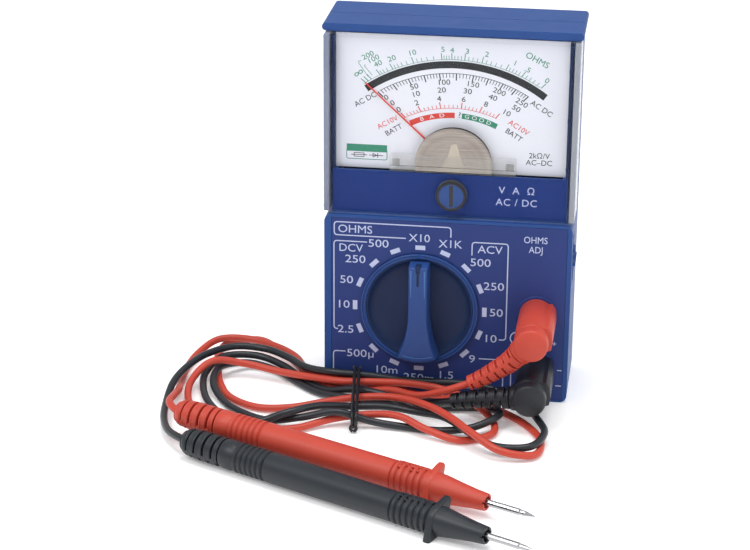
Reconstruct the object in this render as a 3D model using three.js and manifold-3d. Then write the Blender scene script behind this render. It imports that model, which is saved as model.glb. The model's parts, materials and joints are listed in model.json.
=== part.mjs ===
// Pocket analogue multimeter with its two test leads tied in a hank.
// Millimetres, +Z up. The meter stands on z = 0 with its face towards -Y.
import * as THREE from 'three';
import { mergeVertices } from 'three/addons/utils/BufferGeometryUtils.js';
import Module from 'manifold-3d';

const wasm = await Module();
wasm.setup();

// ---------------------------------------------------------------- driving dimensions
const BODY = { w: 80, h: 124, d: 30, wall: 2, seam: 16, shoulder: 61.5, capZ: 121.5, capW: 82 };
const FACE_Y = -12;                          // front face of the lower case in the world
const COVER = { w: 80.6, y0: 0.3, y1: 15, z0: 61.9, z1: 121.2, wall: 1.9 };
const DIAL = { w: 73.6, y: 5, t: 0.4, z0: 76.2, z1: 120.6 };
const PIVOT = { x: 0.9, z: 78.6, windowR: 12.2 };
const KNOB = { x: -8.7, z: 30.4, r: 17.2, hole: 17.5, collar: 19, bar: 6, shaft: 3.5 };
const WHEEL = { x: 30.2, z: 48.4, r: 10.9, y0: 5.4, y1: 10.2, teeth: 28 };
const ZERO = { x: 0.9, z: 69.6, r: 4.6, pin: 0.45, throw: 1 };
const JACK = { x: 29.4, z: { red: 30.6, black: 11.6 }, well: 5.9, bore: 2.1, r: 3 };
const BOARD = { y0: 13, y1: 14.6, z0: 9.5, z1: 58.5, w: 74 };
const LABEL = { x0: -37.6, x1: 38.4, z0: 0.8, z1: 60.4, t: 0.35 };
const CELL = { r: 7.25, len: 49.5, y: 19.5, z: 105 };
const SCREW = { x: 0, z: [5.5, 117], head: 2.7, shank: 1.2 };
const LEAD_D = 2.4;
const PLUG = { r: 5.35, reach: 26.4, exitY: -20.5, pin: 1.95 };
const PROBE = { len: 124.8, boot: 16, guard: 93.4, nose: 96, tip: 107.4, r: 4.7 };

// ---------------------------------------------------------------- colours
const paint = (color, roughness = 0.5, metalness = 0, opacity = 1) =>
  new THREE.MeshStandardMaterial({ color, roughness, metalness, opacity, transparent: opacity < 1 });
const BLUE = paint(0x2f4391, 0.45);
const LABEL_BLUE = paint(0x2b3a7c, 0.55);
const NAVY = paint(0x26325c, 0.5);
const CLEAR = paint(0xe8eef2, 0.05, 0, 0.3);
const DIAL_GREY = paint(0xdfe1e0, 0.7);
const BOARD_TAN = paint(0xb58a4a, 0.6);
const BRASS = paint(0xc2a05a, 0.3, 1);
const STEEL = paint(0xb9bcc0, 0.3, 1);
const COPPER = paint(0xa85f35, 0.4, 1);
const IRON = paint(0x6f7275, 0.45, 1);
const BLACK = paint(0x2a2c30, 0.6);
const WHITE = paint(0xe9e6dc, 0.6);
const TAN = paint(0xd9b98a, 0.5);
const RED = paint(0xd9432f, 0.5);
const CELL_GREEN = paint(0x3f7f5a, 0.4);
const LEAD_PAINT = { red: RED, black: BLACK };

// ---------------------------------------------------------------- geometry helpers
const root = new THREE.Group();
root.name = 'analogue_multimeter';
const meter = new THREE.Group();             // everything on the case, in face coordinates
meter.position.set(0, FACE_Y, 0);
const leads = new THREE.Group();             // what lies on the table, in world coordinates
root.add(meter, leads);

function add(group, name, geometry, material) {
  const mesh = new THREE.Mesh(geometry, material);
  mesh.name = name;
  group.add(mesh);
  return mesh;
}

function toManifold(geometry) {
  const bare = geometry.clone();
  bare.deleteAttribute('normal');
  bare.deleteAttribute('uv');
  const g = mergeVertices(bare, 1e-4);
  return new wasm.Manifold(new wasm.Mesh({
    numProp: 3,
    vertProperties: new Float32Array(g.attributes.position.array),
    triVerts: new Uint32Array(g.index.array),
  }));
}

function fromManifold(body) {
  const m = body.getMesh();
  const g = new THREE.BufferGeometry();
  g.setAttribute('position', new THREE.BufferAttribute(new Float32Array(m.vertProperties), 3));
  g.setIndex([...m.triVerts]);
  g.computeVertexNormals();
  return g;
}

function combine(adds, cuts = []) {
  let body = toManifold(adds[0]);
  for (const g of adds.slice(1)) body = body.add(toManifold(g));
  for (const g of cuts) body = body.subtract(toManifold(g));
  return fromManifold(body);
}

// A rounded rectangle in X and Z, from y0 to y1.
function plate(x0, x1, z0, z1, y0, y1, r = 0, steps = 4) {
  const s = new THREE.Shape();
  if (r > 0) {
    s.absarc(x1 - r, z1 - r, r, 0, Math.PI / 2);
    s.absarc(x0 + r, z1 - r, r, Math.PI / 2, Math.PI);
    s.absarc(x0 + r, z0 + r, r, Math.PI, Math.PI * 1.5);
    s.absarc(x1 - r, z0 + r, r, Math.PI * 1.5, Math.PI * 2);
  } else {
    s.moveTo(x0, z0); s.lineTo(x1, z0); s.lineTo(x1, z1); s.lineTo(x0, z1); s.closePath();
  }
  return slab(s, y0, y1, steps);
}

// A flat shape drawn in X and Z, given thickness from y0 to y1.
function slab(shape, y0, y1, steps = 8) {
  const g = new THREE.ExtrudeGeometry(shape, { depth: y1 - y0, bevelEnabled: false, curveSegments: steps });
  return g.rotateX(Math.PI / 2).translate(0, y1, 0);
}

// A round bar along Y.
function rod(x, z, r, y0, y1, sides = 24) {
  return new THREE.CylinderGeometry(r, r, y1 - y0, sides).translate(x, (y0 + y1) / 2, z);
}

function ring(x, z, rIn, rOut, y0, y1, sides = 32) {
  return combine([rod(x, z, rOut, y0, y1, sides)], [rod(x, z, rIn, y0 - 1, y1 + 1, sides)]);
}

// A closed sweep of a circle whose radius may change: path(t) and radius(t), t from 0 to 1.
function sweep(path, radius, steps, sides = 8, closed = false) {
  const pos = [];
  const index = [];
  const rings = closed ? steps : steps + 1;
  const at = (i) => path(closed ? i / steps : Math.min(1, i / steps));
  const e = 1e-3;
  let side = null;
  for (let i = 0; i < rings; i += 1) {
    const t = i / steps;
    const c = at(i);
    const dir = path(closed ? (t + e) % 1 : Math.min(1, t + e))
      .sub(path(closed ? (t - e + 1) % 1 : Math.max(0, t - e))).normalize();
    if (!side) side = Math.abs(dir.z) < 0.8 ? new THREE.Vector3(0, 0, 1) : new THREE.Vector3(0, 1, 0);
    const u = side.clone().addScaledVector(dir, -side.dot(dir)).normalize();
    const v = new THREE.Vector3().crossVectors(dir, u);
    side = closed ? side : u;
    for (let k = 0; k < sides; k += 1) {
      const a = (k / sides) * Math.PI * 2;
      const p = c.clone().addScaledVector(u, radius(t) * Math.cos(a)).addScaledVector(v, radius(t) * Math.sin(a));
      pos.push(p.x, p.y, p.z);
    }
  }
  const spans = closed ? steps : steps;
  for (let i = 0; i < spans; i += 1) {
    const a = i * sides;
    const b = ((i + 1) % rings) * sides;
    for (let k = 0; k < sides; k += 1) {
      const n = (k + 1) % sides;
      index.push(a + k, a + n, b + n, a + k, b + n, b + k);
    }
  }
  if (!closed) {
    for (const [i, flip] of [[0, true], [steps, false]]) {
      const c = at(i);
      const hub = pos.length / 3;
      pos.push(c.x, c.y, c.z);
      for (let k = 0; k < sides; k += 1) {
        const p = i * sides + k;
        const q = i * sides + ((k + 1) % sides);
        index.push(...(flip ? [hub, q, p] : [hub, p, q]));
      }
    }
  }
  const g = new THREE.BufferGeometry();
  g.setAttribute('position', new THREE.Float32BufferAttribute(pos, 3));
  g.setIndex(index);
  g.computeVertexNormals();
  return g;
}

// A turned solid whose axis runs from `from` towards `to`; profile = [[distance, radius], ...].
function turned(from, to, profile, sides = 20) {
  const pts = profile.map(([s, r]) => new THREE.Vector2(r, s));
  pts.unshift(new THREE.Vector2(0, profile[0][0]));
  pts.push(new THREE.Vector2(0, profile[profile.length - 1][0]));
  const g = new THREE.LatheGeometry(pts, sides);
  const dir = to.clone().sub(from).normalize();
  g.applyQuaternion(new THREE.Quaternion().setFromUnitVectors(new THREE.Vector3(0, 1, 0), dir));
  return g.translate(from.x, from.y, from.z);
}

const vec = ([x, y, z]) => new THREE.Vector3(x, y, z);
const smoothCurve = (points) => new THREE.CatmullRomCurve3(points.map(vec), false, 'catmullrom', 0.5);

// ---------------------------------------------------------------- case
function frontCase() {
  const half = BODY.w / 2;
  const inner = 37.6;
  const back = BODY.seam - 0.1;
  const cap = BODY.capW / 2;
  const adds = [
    plate(-half, half, 0, BODY.shoulder, 0, back, 2.5),
    plate(-inner, inner, BODY.shoulder - 1, 76.2, 2.5, back),
    plate(-inner, inner, 76, BODY.capZ + 0.5, 5.6, back),
    plate(-cap, cap, BODY.capZ, BODY.h, 3, back, 1.2),
  ];
  const labelPocket = plate(LABEL.x0 - 0.1, LABEL.x1 + 0.1, LABEL.z0 - 0.1, LABEL.z1 + 0.1, -1, LABEL.t + 0.05);
  const collar = rod(KNOB.x, KNOB.z, KNOB.collar, -0.8, 1.5, 40);
  return combine([combine(adds, [labelPocket]), collar], [
    plate(-38, 38, 2, 59.5, 2.4, back + 1),
    plate(-36, 36, 63, 76.2, 3.1, back + 1),
    plate(-36, 36, 76.1, 120, 7, back + 1),
    rod(PIVOT.x, PIVOT.z, 14, 2.8, 9, 32),
    rod(KNOB.x, KNOB.z, KNOB.hole, -2, 4, 36),
    rod(ZERO.x, ZERO.z, 4.9, 0, 5),
    rod(JACK.x, JACK.z.red, JACK.well, -1, 4),
    rod(JACK.x, JACK.z.black, JACK.well, -1, 4),
    plate(37, 43, WHEEL.z - 8.8, WHEEL.z + 8.3, 4.8, 10.8),
  ]);
}

function screwPost(z, y0, y1, bore) {
  return [rod(SCREW.x, z, 2.6, y0, y1, 16), rod(SCREW.x, z, bore, y0 + 1, y1 + 1, 16)];
}

function frontCaseWithPosts() {
  const [low, lowBore] = screwPost(SCREW.z[0], 2, BODY.seam - 0.1, 1.3);
  const [high, highBore] = screwPost(SCREW.z[1], 6.5, BODY.seam - 0.1, 1.3);
  return combine([frontCase(), low, high], [lowBore, highBore]);
}
add(meter, 'front_case', frontCaseWithPosts(), BLUE);

function rearCase() {
  const half = BODY.w / 2;
  const cap = BODY.capW / 2;
  const y0 = BODY.seam + 0.1;
  const shell = combine(
    [plate(-half, half, 0, 60, y0, BODY.d, 2.5), plate(-half, half, 30, BODY.capZ + 0.5, y0, BODY.d),
      plate(-cap, cap, BODY.capZ, BODY.h, y0, BODY.d, 1.2)],
    [plate(2 - half, half - 2, 2, BODY.h - 2, y0 - 1, BODY.d - 2)]);
  const bosses = SCREW.z.map((z) => rod(SCREW.x, z, 3.3, y0 + 0.2, BODY.d - 1, 16));
  const bores = SCREW.z.flatMap((z) => [
    rod(SCREW.x, z, 1.5, y0 - 1, BODY.d + 1, 16), rod(SCREW.x, z, 2.9, BODY.d - 2.2, BODY.d + 1, 16)]);
  return combine([shell, ...bosses], bores);
}
add(meter, 'rear_case', rearCase(), BLUE);

function windowCover() {
  const half = COVER.w / 2;
  const inX = 38;
  const front = COVER.y0 + COVER.wall;
  return combine(
    [plate(-half, half, COVER.z0, COVER.z1, COVER.y0, COVER.y1, 1)],
    [plate(-inX, inX, COVER.z0 - 1, COVER.z1 - 1.5, front, COVER.y1 + 1),
      plate(-inX, inX, COVER.z0 - 1, COVER.z1 + 1, 4.7, COVER.y1 + 1),
      rod(ZERO.x, ZERO.z, 5, -1, 4)]);
}
add(meter, 'window_cover', windowCover(), CLEAR);

add(meter, 'legend_plate', combine(
  [plate(LABEL.x0, LABEL.x1, LABEL.z0, LABEL.z1, 0, LABEL.t)],
  [rod(KNOB.x, KNOB.z, KNOB.collar + 0.15, -1, 1, 40), rod(JACK.x, JACK.z.red, JACK.well + 0.2, -1, 1),
    rod(JACK.x, JACK.z.black, JACK.well + 0.2, -1, 1)]), LABEL_BLUE);

SCREW.z.forEach((z, i) => {
  add(meter, ['case_screw_lower', 'case_screw_upper'][i], combine(
    [rod(SCREW.x, z, SCREW.head, BODY.d - 2.1, BODY.d - 0.5, 16), rod(SCREW.x, z, SCREW.shank, 9, BODY.d - 1.5, 12)],
    [plate(-0.3, 0.3, z - 2.2, z + 2.2, BODY.d - 1.2, BODY.d + 1)]), STEEL);
});

// ---------------------------------------------------------------- meter movement
add(meter, 'dial_plate', combine(
  [plate(-DIAL.w / 2, DIAL.w / 2, DIAL.z0, DIAL.z1, DIAL.y, DIAL.y + DIAL.t)],
  [rod(PIVOT.x, PIVOT.z, PIVOT.windowR, 4, 7, 40)]), DIAL_GREY);

const MOVEMENT = { y0: 8.2, y1: 16.2, core: 7, coilIn: 7.6, coilOut: 9.2, yokeIn: 10.2, yokeOut: 13.2 };
add(meter, 'magnet_core', combine(
  [rod(PIVOT.x, PIVOT.z, MOVEMENT.core, MOVEMENT.y0 + 0.6, MOVEMENT.y1 - 0.6)],
  [rod(PIVOT.x, PIVOT.z, 1, 0, 30, 12)]), IRON);
add(meter, 'yoke_ring',
  ring(PIVOT.x, PIVOT.z, MOVEMENT.yokeIn, MOVEMENT.yokeOut, MOVEMENT.y0, MOVEMENT.y1), IRON);

function bridge(front) {
  const [y0, y1] = front ? [2.6, 3.2] : [18.9, 19.6];
  const legs = front ? [y0, MOVEMENT.y0 - 0.1] : [MOVEMENT.y1 + 0.1, y1];
  const leg = (s) => plate(PIVOT.x + s * 10.8 - 0.55, PIVOT.x + s * 10.8 + 0.55, PIVOT.z - 2, PIVOT.z + 2, ...legs);
  return combine(
    [plate(PIVOT.x - 11.3, PIVOT.x + 11.3, PIVOT.z - 2, PIVOT.z + 2, y0, y1, 0.5), leg(-1), leg(1)],
    [rod(PIVOT.x, PIVOT.z, 1.25, y0 - 1, y1 + 1, 16)]);
}
add(meter, 'front_bridge', bridge(true), BRASS);
add(meter, 'rear_bridge', bridge(false), BRASS);
add(meter, 'jewel_screw_front', combine(
  [rod(PIVOT.x, PIVOT.z, 1.15, 2.4, 3.25, 16)],
  [rod(PIVOT.x, PIVOT.z, 0.42, 2.9, 4, 8)]), BRASS);
add(meter, 'jewel_screw_rear', combine(
  [rod(PIVOT.x, PIVOT.z, 1.15, 18.85, 20, 16)],
  [rod(PIVOT.x, PIVOT.z, 0.42, 18, 19.4, 8)]), BRASS);

const REST = THREE.MathUtils.degToRad(47.4);          // the pointer at rest, left of vertical
const turnTo = (g, angle) => g.translate(-PIVOT.x, 0, -PIVOT.z).rotateY(-angle).translate(PIVOT.x, 0, PIVOT.z);

function needle() {
  const s = new THREE.Shape();
  s.moveTo(-0.75, -7.5); s.lineTo(0.75, -7.5); s.lineTo(0.6, 3); s.lineTo(0.26, 7); s.lineTo(0.16, 38.4);
  s.lineTo(-0.16, 38.4); s.lineTo(-0.26, 7); s.lineTo(-0.6, 3); s.closePath();
  const blade = slab(s, 4.25, 4.6).translate(PIVOT.x, 0, PIVOT.z);
  return turnTo(combine([blade, rod(PIVOT.x, PIVOT.z, 1.9, 4.2, 4.7, 20)],
    [rod(PIVOT.x, PIVOT.z, 0.55, 3, 6, 12)]), REST);
}
add(meter, 'needle', needle(), RED);

function movingCoil() {
  const o = MOVEMENT.coilOut;
  const i = MOVEMENT.coilIn;
  const former = combine(
    [plate(PIVOT.x - o, PIVOT.x + o, PIVOT.z - 1.3, PIVOT.z + 1.3, 6.6, 17.8)],
    [plate(PIVOT.x - i, PIVOT.x + i, PIVOT.z - 2, PIVOT.z + 2, 8.1, 16.3), rod(PIVOT.x, PIVOT.z, 0.55, 0, 30, 12)]);
  return turnTo(former, REST);
}
add(meter, 'moving_coil', movingCoil(), COPPER);
const staff = (y0, y1) => turned(vec([PIVOT.x, y0, PIVOT.z]), vec([PIVOT.x, y1, PIVOT.z]),
  [[0, 0.3], [0.4, 0.45], [y1 - y0 - 0.4, 0.45], [y1 - y0, 0.3]], 10);
add(meter, 'pivot_staff', staff(3, 19.2), STEEL);

function hairspring(y, turns) {
  const path = (t) => {
    const a = t * turns * Math.PI * 2;
    const r = 1.5 + t * 2.6;
    return new THREE.Vector3(PIVOT.x + r * Math.cos(a), y, PIVOT.z + r * Math.sin(a));
  };
  return sweep(path, () => 0.14, 72, 4);
}
add(meter, 'hairspring_front', hairspring(3.95, 3), BRASS);
add(meter, 'hairspring_rear', hairspring(18.4, 3), BRASS);

function zeroLever() {
  const fork = plate(PIVOT.x - 1.7, PIVOT.x + 1.7, 69.3, 72.8, 3.35, 3.65, 0.4);
  const arm = plate(PIVOT.x - 0.9, PIVOT.x + 0.9, 72, PIVOT.z, 3.35, 3.65);
  return combine([fork, arm, rod(PIVOT.x, PIVOT.z, 2.6, 3.35, 3.65, 20)],
    [plate(PIVOT.x - 0.8, PIVOT.x + 0.8, 69, 71.8, 3, 4), rod(PIVOT.x, PIVOT.z, 1.4, 3, 4, 16)]);
}
add(meter, 'zero_lever', zeroLever(), BRASS);

function zeroScrew() {
  const slot = plate(ZERO.x - 0.6, ZERO.x + 0.6, ZERO.z - 3.6, ZERO.z + 3.6, -1, 0.7, 0.3);
  return combine(
    [rod(ZERO.x, ZERO.z, ZERO.r, -0.2, 1.9, 32), rod(ZERO.x, ZERO.z, 2.2, 1.5, 3.25, 20),
      rod(ZERO.x, ZERO.z + ZERO.throw, ZERO.pin, 3, 3.9, 12)], [slot]);
}
add(meter, 'zero_adjust_screw', zeroScrew(), BLUE);

// ---------------------------------------------------------------- range switch
function rangeKnob() {
  const disc = combine(
    [rod(KNOB.x, KNOB.z, KNOB.r, 0.2, 3, 40), rod(KNOB.x, KNOB.z, KNOB.shaft, 2, 12.4, 20)],
    [rod(KNOB.x, KNOB.z, KNOB.r - 1.2, -1, 1.2, 40)]);
  const bar = new THREE.Shape();
  bar.moveTo(-3.1, 16.6); bar.lineTo(-3.1, 0);
  bar.bezierCurveTo(-3.1, -6, -4.4, -11, -6.6, -16.05);
  bar.absarc(0, 0, 17.35, Math.PI * 1.5 - 0.39, Math.PI * 1.5 + 0.39, false);
  bar.bezierCurveTo(4.4, -11, 3.1, -6, 3.1, 0);
  bar.lineTo(3.1, 16.6);
  bar.closePath();
  const grip = slab(bar, -KNOB.bar, -0.9, 6).translate(KNOB.x, 0, KNOB.z);
  const web = plate(KNOB.x - 3, KNOB.x + 3, KNOB.z - 15.5, KNOB.z + 15.5, -1.5, 1.5);
  const mark = plate(KNOB.x - 0.5, KNOB.x + 0.5, KNOB.z + 10.2, KNOB.z + 17.5, -KNOB.bar - 1, -KNOB.bar + 0.6);
  return combine([disc, grip, web], [mark]);
}
add(meter, 'range_knob', rangeKnob(), NAVY);

add(meter, 'switch_rotor', combine(
  [rod(KNOB.x, KNOB.z, 15, 5, 8, 40)],
  [rod(KNOB.x, KNOB.z, KNOB.shaft + 0.1, 4, 9, 20), rod(KNOB.x, KNOB.z + 12, 1.6, 4, 7.4, 16)]), WHITE);
const finger = (a) => plate(-1, 1, 5.6, 12.6, 8.2, 8.6).translate(0, 0, 0)
  .rotateY(a).translate(KNOB.x, 0, KNOB.z);
const contact = (a) => plate(-0.8, 0.8, 11.2, 12.6, 8.3, 12.7).rotateY(a).translate(KNOB.x, 0, KNOB.z);
const FINGER_ANGLES = [0.35, 0.9, -0.35];
add(meter, 'wiper_contact', combine(
  [ring(KNOB.x, KNOB.z, 4.2, 7, 8.2, 8.6), ...FINGER_ANGLES.flatMap((a) => [finger(a), contact(a)])]), BRASS);
add(meter, 'detent_ball', new THREE.IcosahedronGeometry(1.2, 2).translate(KNOB.x, 4.3, KNOB.z + 12), STEEL);
add(meter, 'detent_spring', sweep((t) => new THREE.Vector3(
  KNOB.x + 1.1 * Math.cos(t * 25), 5.75 + 1.4 * t, KNOB.z + 12 + 1.1 * Math.sin(t * 25)), () => 0.18, 60, 5), STEEL);

// ---------------------------------------------------------------- electrical parts
add(meter, 'circuit_board', combine(
  [plate(-BOARD.w / 2, BOARD.w / 2, BOARD.z0, BOARD.z1, BOARD.y0, BOARD.y1, 1)],
  [rod(KNOB.x, KNOB.z, 3, 12, 16, 20)]), BOARD_TAN);
for (const side of ['red', 'black']) {
  const z = JACK.z[side];
  add(meter, `jack_socket_${side}`,
    combine([rod(JACK.x, z, JACK.r, 1.6, 12.9)], [rod(JACK.x, z, JACK.bore, 1, 12)]), BRASS);
}
add(meter, 'ohms_potentiometer', combine(
  [rod(WHEEL.x, WHEEL.z, 6, 10.6, 12.9), rod(WHEEL.x, WHEEL.z, 1.4, 6, 11, 12)]), BLACK);

function thumbwheel() {
  const s = new THREE.Shape();
  for (let i = 0; i < WHEEL.teeth; i += 1) {
    const a = (i / WHEEL.teeth) * Math.PI * 2;
    const step = Math.PI / WHEEL.teeth;
    for (const [k, r] of [[0, WHEEL.r], [0.7, WHEEL.r], [1, WHEEL.r - 0.8], [1.7, WHEEL.r - 0.8]]) {
      const p = [r * Math.cos(a + k * step), r * Math.sin(a + k * step)];
      if (i === 0 && k === 0) s.moveTo(...p); else s.lineTo(...p);
    }
  }
  s.closePath();
  return combine([slab(s, WHEEL.y0, WHEEL.y1).translate(WHEEL.x, 0, WHEEL.z)],
    [rod(WHEEL.x, WHEEL.z, 1.6, WHEEL.y0 - 1, WHEEL.y1 + 1, 16)]);
}
add(meter, 'ohms_thumbwheel', thumbwheel(), BLUE);

const FUSE = { x: -31, y: 9.6, z0: 19, z1: 39, r: 2.6 };
const upright = (x, y, z0, profile) => turned(vec([x, y, z0]), vec([x, y, z0 + 1]), profile, 14);
const fuseLen = FUSE.z1 - FUSE.z0;
add(meter, 'fuse', upright(FUSE.x, FUSE.y, FUSE.z0,
  [[0, 2.6], [5, 2.6], [5.1, 2.2], [fuseLen - 5.1, 2.2], [fuseLen - 5, 2.6], [fuseLen, 2.6]]), STEEL);
[['fuse_clip_lower', FUSE.z0 + 1], ['fuse_clip_upper', FUSE.z1 - 4]].forEach(([name, z]) => {
  add(meter, name, combine(
    [plate(FUSE.x - 3.3, FUSE.x + 3.3, z, z + 3, FUSE.y - 1.5, 12.9)],
    [upright(FUSE.x, FUSE.y, z - 1, [[0, 2.7], [5, 2.7]]),
      plate(FUSE.x - 2.1, FUSE.x + 2.1, z - 1, z + 4, FUSE.y - 3, FUSE.y)]), BRASS);
});

function axialPart(x, z, len, r) {
  return turned(vec([x, 11.6, z]), vec([x + 1, 11.6, z]),
    [[-3, 0.3], [0, 0.3], [0.2, r], [len - 0.2, r], [len, 0.3], [len + 3, 0.3]], 12);
}
add(meter, 'resistor_left', axialPart(-22, 54.5, 6.5, 1.1), TAN);
add(meter, 'resistor_middle', axialPart(-6, 54.5, 6.5, 1.1), TAN);
add(meter, 'resistor_right', axialPart(9, 54.5, 6.5, 1.1), TAN);
add(meter, 'rectifier_diode', axialPart(11, 49, 4, 0.9), BLACK);

// ---------------------------------------------------------------- cell and its contacts
const along = (x0, y, z, profile, sides = 24) => turned(vec([x0, y, z]), vec([x0 + 1, y, z]), profile, sides);
add(meter, 'battery_cell', along(-CELL.len / 2, CELL.y, CELL.z,
  [[0, 6.6], [0.5, CELL.r], [CELL.len - 1.5, CELL.r], [CELL.len - 1.2, 2.7], [CELL.len, 2.7]]), CELL_GREEN);
add(meter, 'battery_contact', plate(25.2, 25.7, CELL.z - 5, CELL.z + 5, 12.5, 26.5), STEEL);
add(meter, 'battery_spring', sweep((t) => new THREE.Vector3(
  -30.5 + 5.2 * t, CELL.y + (4 - 1.5 * t) * Math.cos(t * 22), CELL.z + (4 - 1.5 * t) * Math.sin(t * 22)),
() => 0.35, 64, 6), STEEL);

// ---------------------------------------------------------------- test leads
// Each route starts where the plug's strain relief ends in the elbow and stops at the probe.
const ROUTE = {
  red: [
    [21.8, -32, 21.6], [12.5, -31.5, 15.2], [2.5, -31, 10.6], [-7, -27.5, 6.5], [-16.5, -20.5, 4.5],
    [-27, -17.5, 2.5], [-38.5, -15, 2], [-47, -6.5, 2], [-52.5, 3.5, 1.5], [-59.5, 13, 1.5],
    [-68, 20.5, 1.5], [-78, 16.5, 1.5], [-79.5, 5, 1.5], [-77, -6.5, 1.5], [-74, -17.5, 1.5],
    [-68.5, -27.5, 1.5], [-58.5, -33.5, 1.5], [-47.5, -33, 2], [-36.5, -29, 3], [-25, -27, 4.5],
    [-14, -29, 6], [-4, -35, 7], [4.5, -42.5, 7], [12.5, -51, 6], [22, -57.5, 3.5],
    [32.5, -55.5, 1.7], [34, -45, 1.5], [29, -34.5, 1.5], [21, -26, 1.5], [11.5, -19.5, 1.5],
    [0.5, -16.5, 4], [-11, -16.5, 5.5], [-22.5, -18, 6], [-34, -18, 5.5], [-45, -14, 4.5],
    [-56, -10, 4], [-67, -8, 5], [-77.5, -11.5, 7], [-82.8, -20.5, 4], [-81.8, -31.5, 1.6],
    [-75.5, -41, 1.5], [-66, -47.5, 1.5], [-55, -49.5, 1.5], [-43.5, -47, 1.5],
    [-33.5, -41, 2.5], [-23, -37, 3], [-12, -39.5, 4.5], [-2, -45, 3], [9, -48, 1.5],
    [18.5, -41.5, 1.5], [16.5, -30.5, 2], [7.5, -23.5, 4.5], [-2.5, -18.5, 1.5],
    [-13.5, -14.5, 1.9], [-25, -15, 4], [-36.5, -15, 5], [-46, -9, 4.5], [-52, 1.5, 4.5],
    [-60, 10, 4], [-70.5, 15, 4], [-80.5, 13, 4.2], [-86, 4.5, 2.5], [-87.8, -6.5, 1.5],
    [-87.2, -18, 1.5], [-85.5, -29.5, 4], [-84.2, -40.5, 7.5], [-83.8, -49.5, 9], [-79.9, -54.7, 8.5],
  ],
  black: [
    [21, -32, 9.8], [10, -32, 8.4], [0.5, -29.5, 5.6], [-8, -23, 2.5], [-19, -24, 2],
    [-30, -24, 2.5], [-40.5, -19.5, 1.5], [-49, -12.5, 1.5], [-57, -4.5, 1.5],
    [-67.5, -1.5, 2.5], [-75.5, -9, 4], [-76, -19.5, 3], [-71, -29.5, 1.5], [-63.5, -37.5, 1.5],
    [-53.5, -42.5, 1.5], [-42.5, -43, 3.5], [-31.5, -41.5, 5.5], [-20.5, -40.5, 2.5],
    [-9.5, -41, 1.5], [2, -42, 1.5], [12.5, -41, 3], [20, -33.5, 4.5], [15, -24.5, 2],
    [4, -24.5, 1.5], [-7, -27, 1.5], [-18, -24.5, 4.5], [-28.5, -21.5, 4.5], [-38.5, -18, 2],
    [-47.5, -10.5, 2], [-55.5, -3, 3], [-65.5, 1.5, 4], [-76, -2, 4.5], [-80, -12, 3],
    [-78.5, -23.5, 2.5], [-74.5, -33.5, 2], [-67.5, -42.5, 2], [-57.5, -47, 2.5],
    [-47, -44.5, 5.5], [-38, -38, 5.5], [-28, -32.5, 3.5], [-17, -31, 3.5], [-6.5, -33.5, 3.5],
    [3, -39.5, 5], [11.5, -47, 4], [20, -53.5, 3], [31, -53.5, 3.5], [35, -44, 4],
    [32, -33, 3.5], [27.5, -23, 3], [19.5, -15, 3.5], [9, -14, 5.5], [-2.5, -14, 5.5],
    [-13.5, -14, 5.5], [-24.5, -15.5, 7], [-36, -15.5, 7.5], [-46, -11, 6.5], [-53.5, -3, 6],
    [-62.5, 3, 6], [-73, 2.5, 6.5], [-81, -5, 6.5], [-85.5, -14.5, 6], [-88, -25.5, 4.9],
    [-88, -37, 2.5], [-86, -48.5, 2.5], [-82, -59, 3.5], [-75.1, -67.4, 4.9],
  ],
};
const PROBE_ENDS = {
  red: { back: vec([-79.6, -54.8, 8.5]), tip: vec([35.4, -100.8, 4.6]) },
  black: { back: vec([-74.7, -67.6, 4.9]), tip: vec([36, -121.3, 4.8]) },
};
const RELIEF = { red: 0.018, black: 0.0235 };           // share of the route inside the strain relief

function plugBody(z) {
  const y0 = FACE_Y - PLUG.reach;
  const dome = turned(vec([JACK.x, y0, z]), vec([JACK.x, 0, z]),
    [[0, 4.6], [0.8, PLUG.r], [PLUG.reach - 0.4, PLUG.r], [PLUG.reach + 1.2, PLUG.r]], 28);
  const collar = new THREE.CylinderGeometry(5.75, 5.75, 3, 6).translate(JACK.x, FACE_Y - 2.1, z);
  const bore = rod(JACK.x, z, 3.5, FACE_Y - 6, FACE_Y + 3);
  return [dome, collar, bore];
}

function elbow(side) {
  const z = JACK.z[side];
  const [dome, collar, bore] = plugBody(z);
  const exit = vec(ROUTE[side][0]);
  const from = vec([JACK.x, FACE_Y + PLUG.exitY, z - 1]);
  const reach = from.distanceTo(exit);
  const neck = turned(from, exit, [[0, 4.2], [reach - 0.3, 3.5]], 16);
  return combine([dome, collar, neck], [bore]);
}

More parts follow.
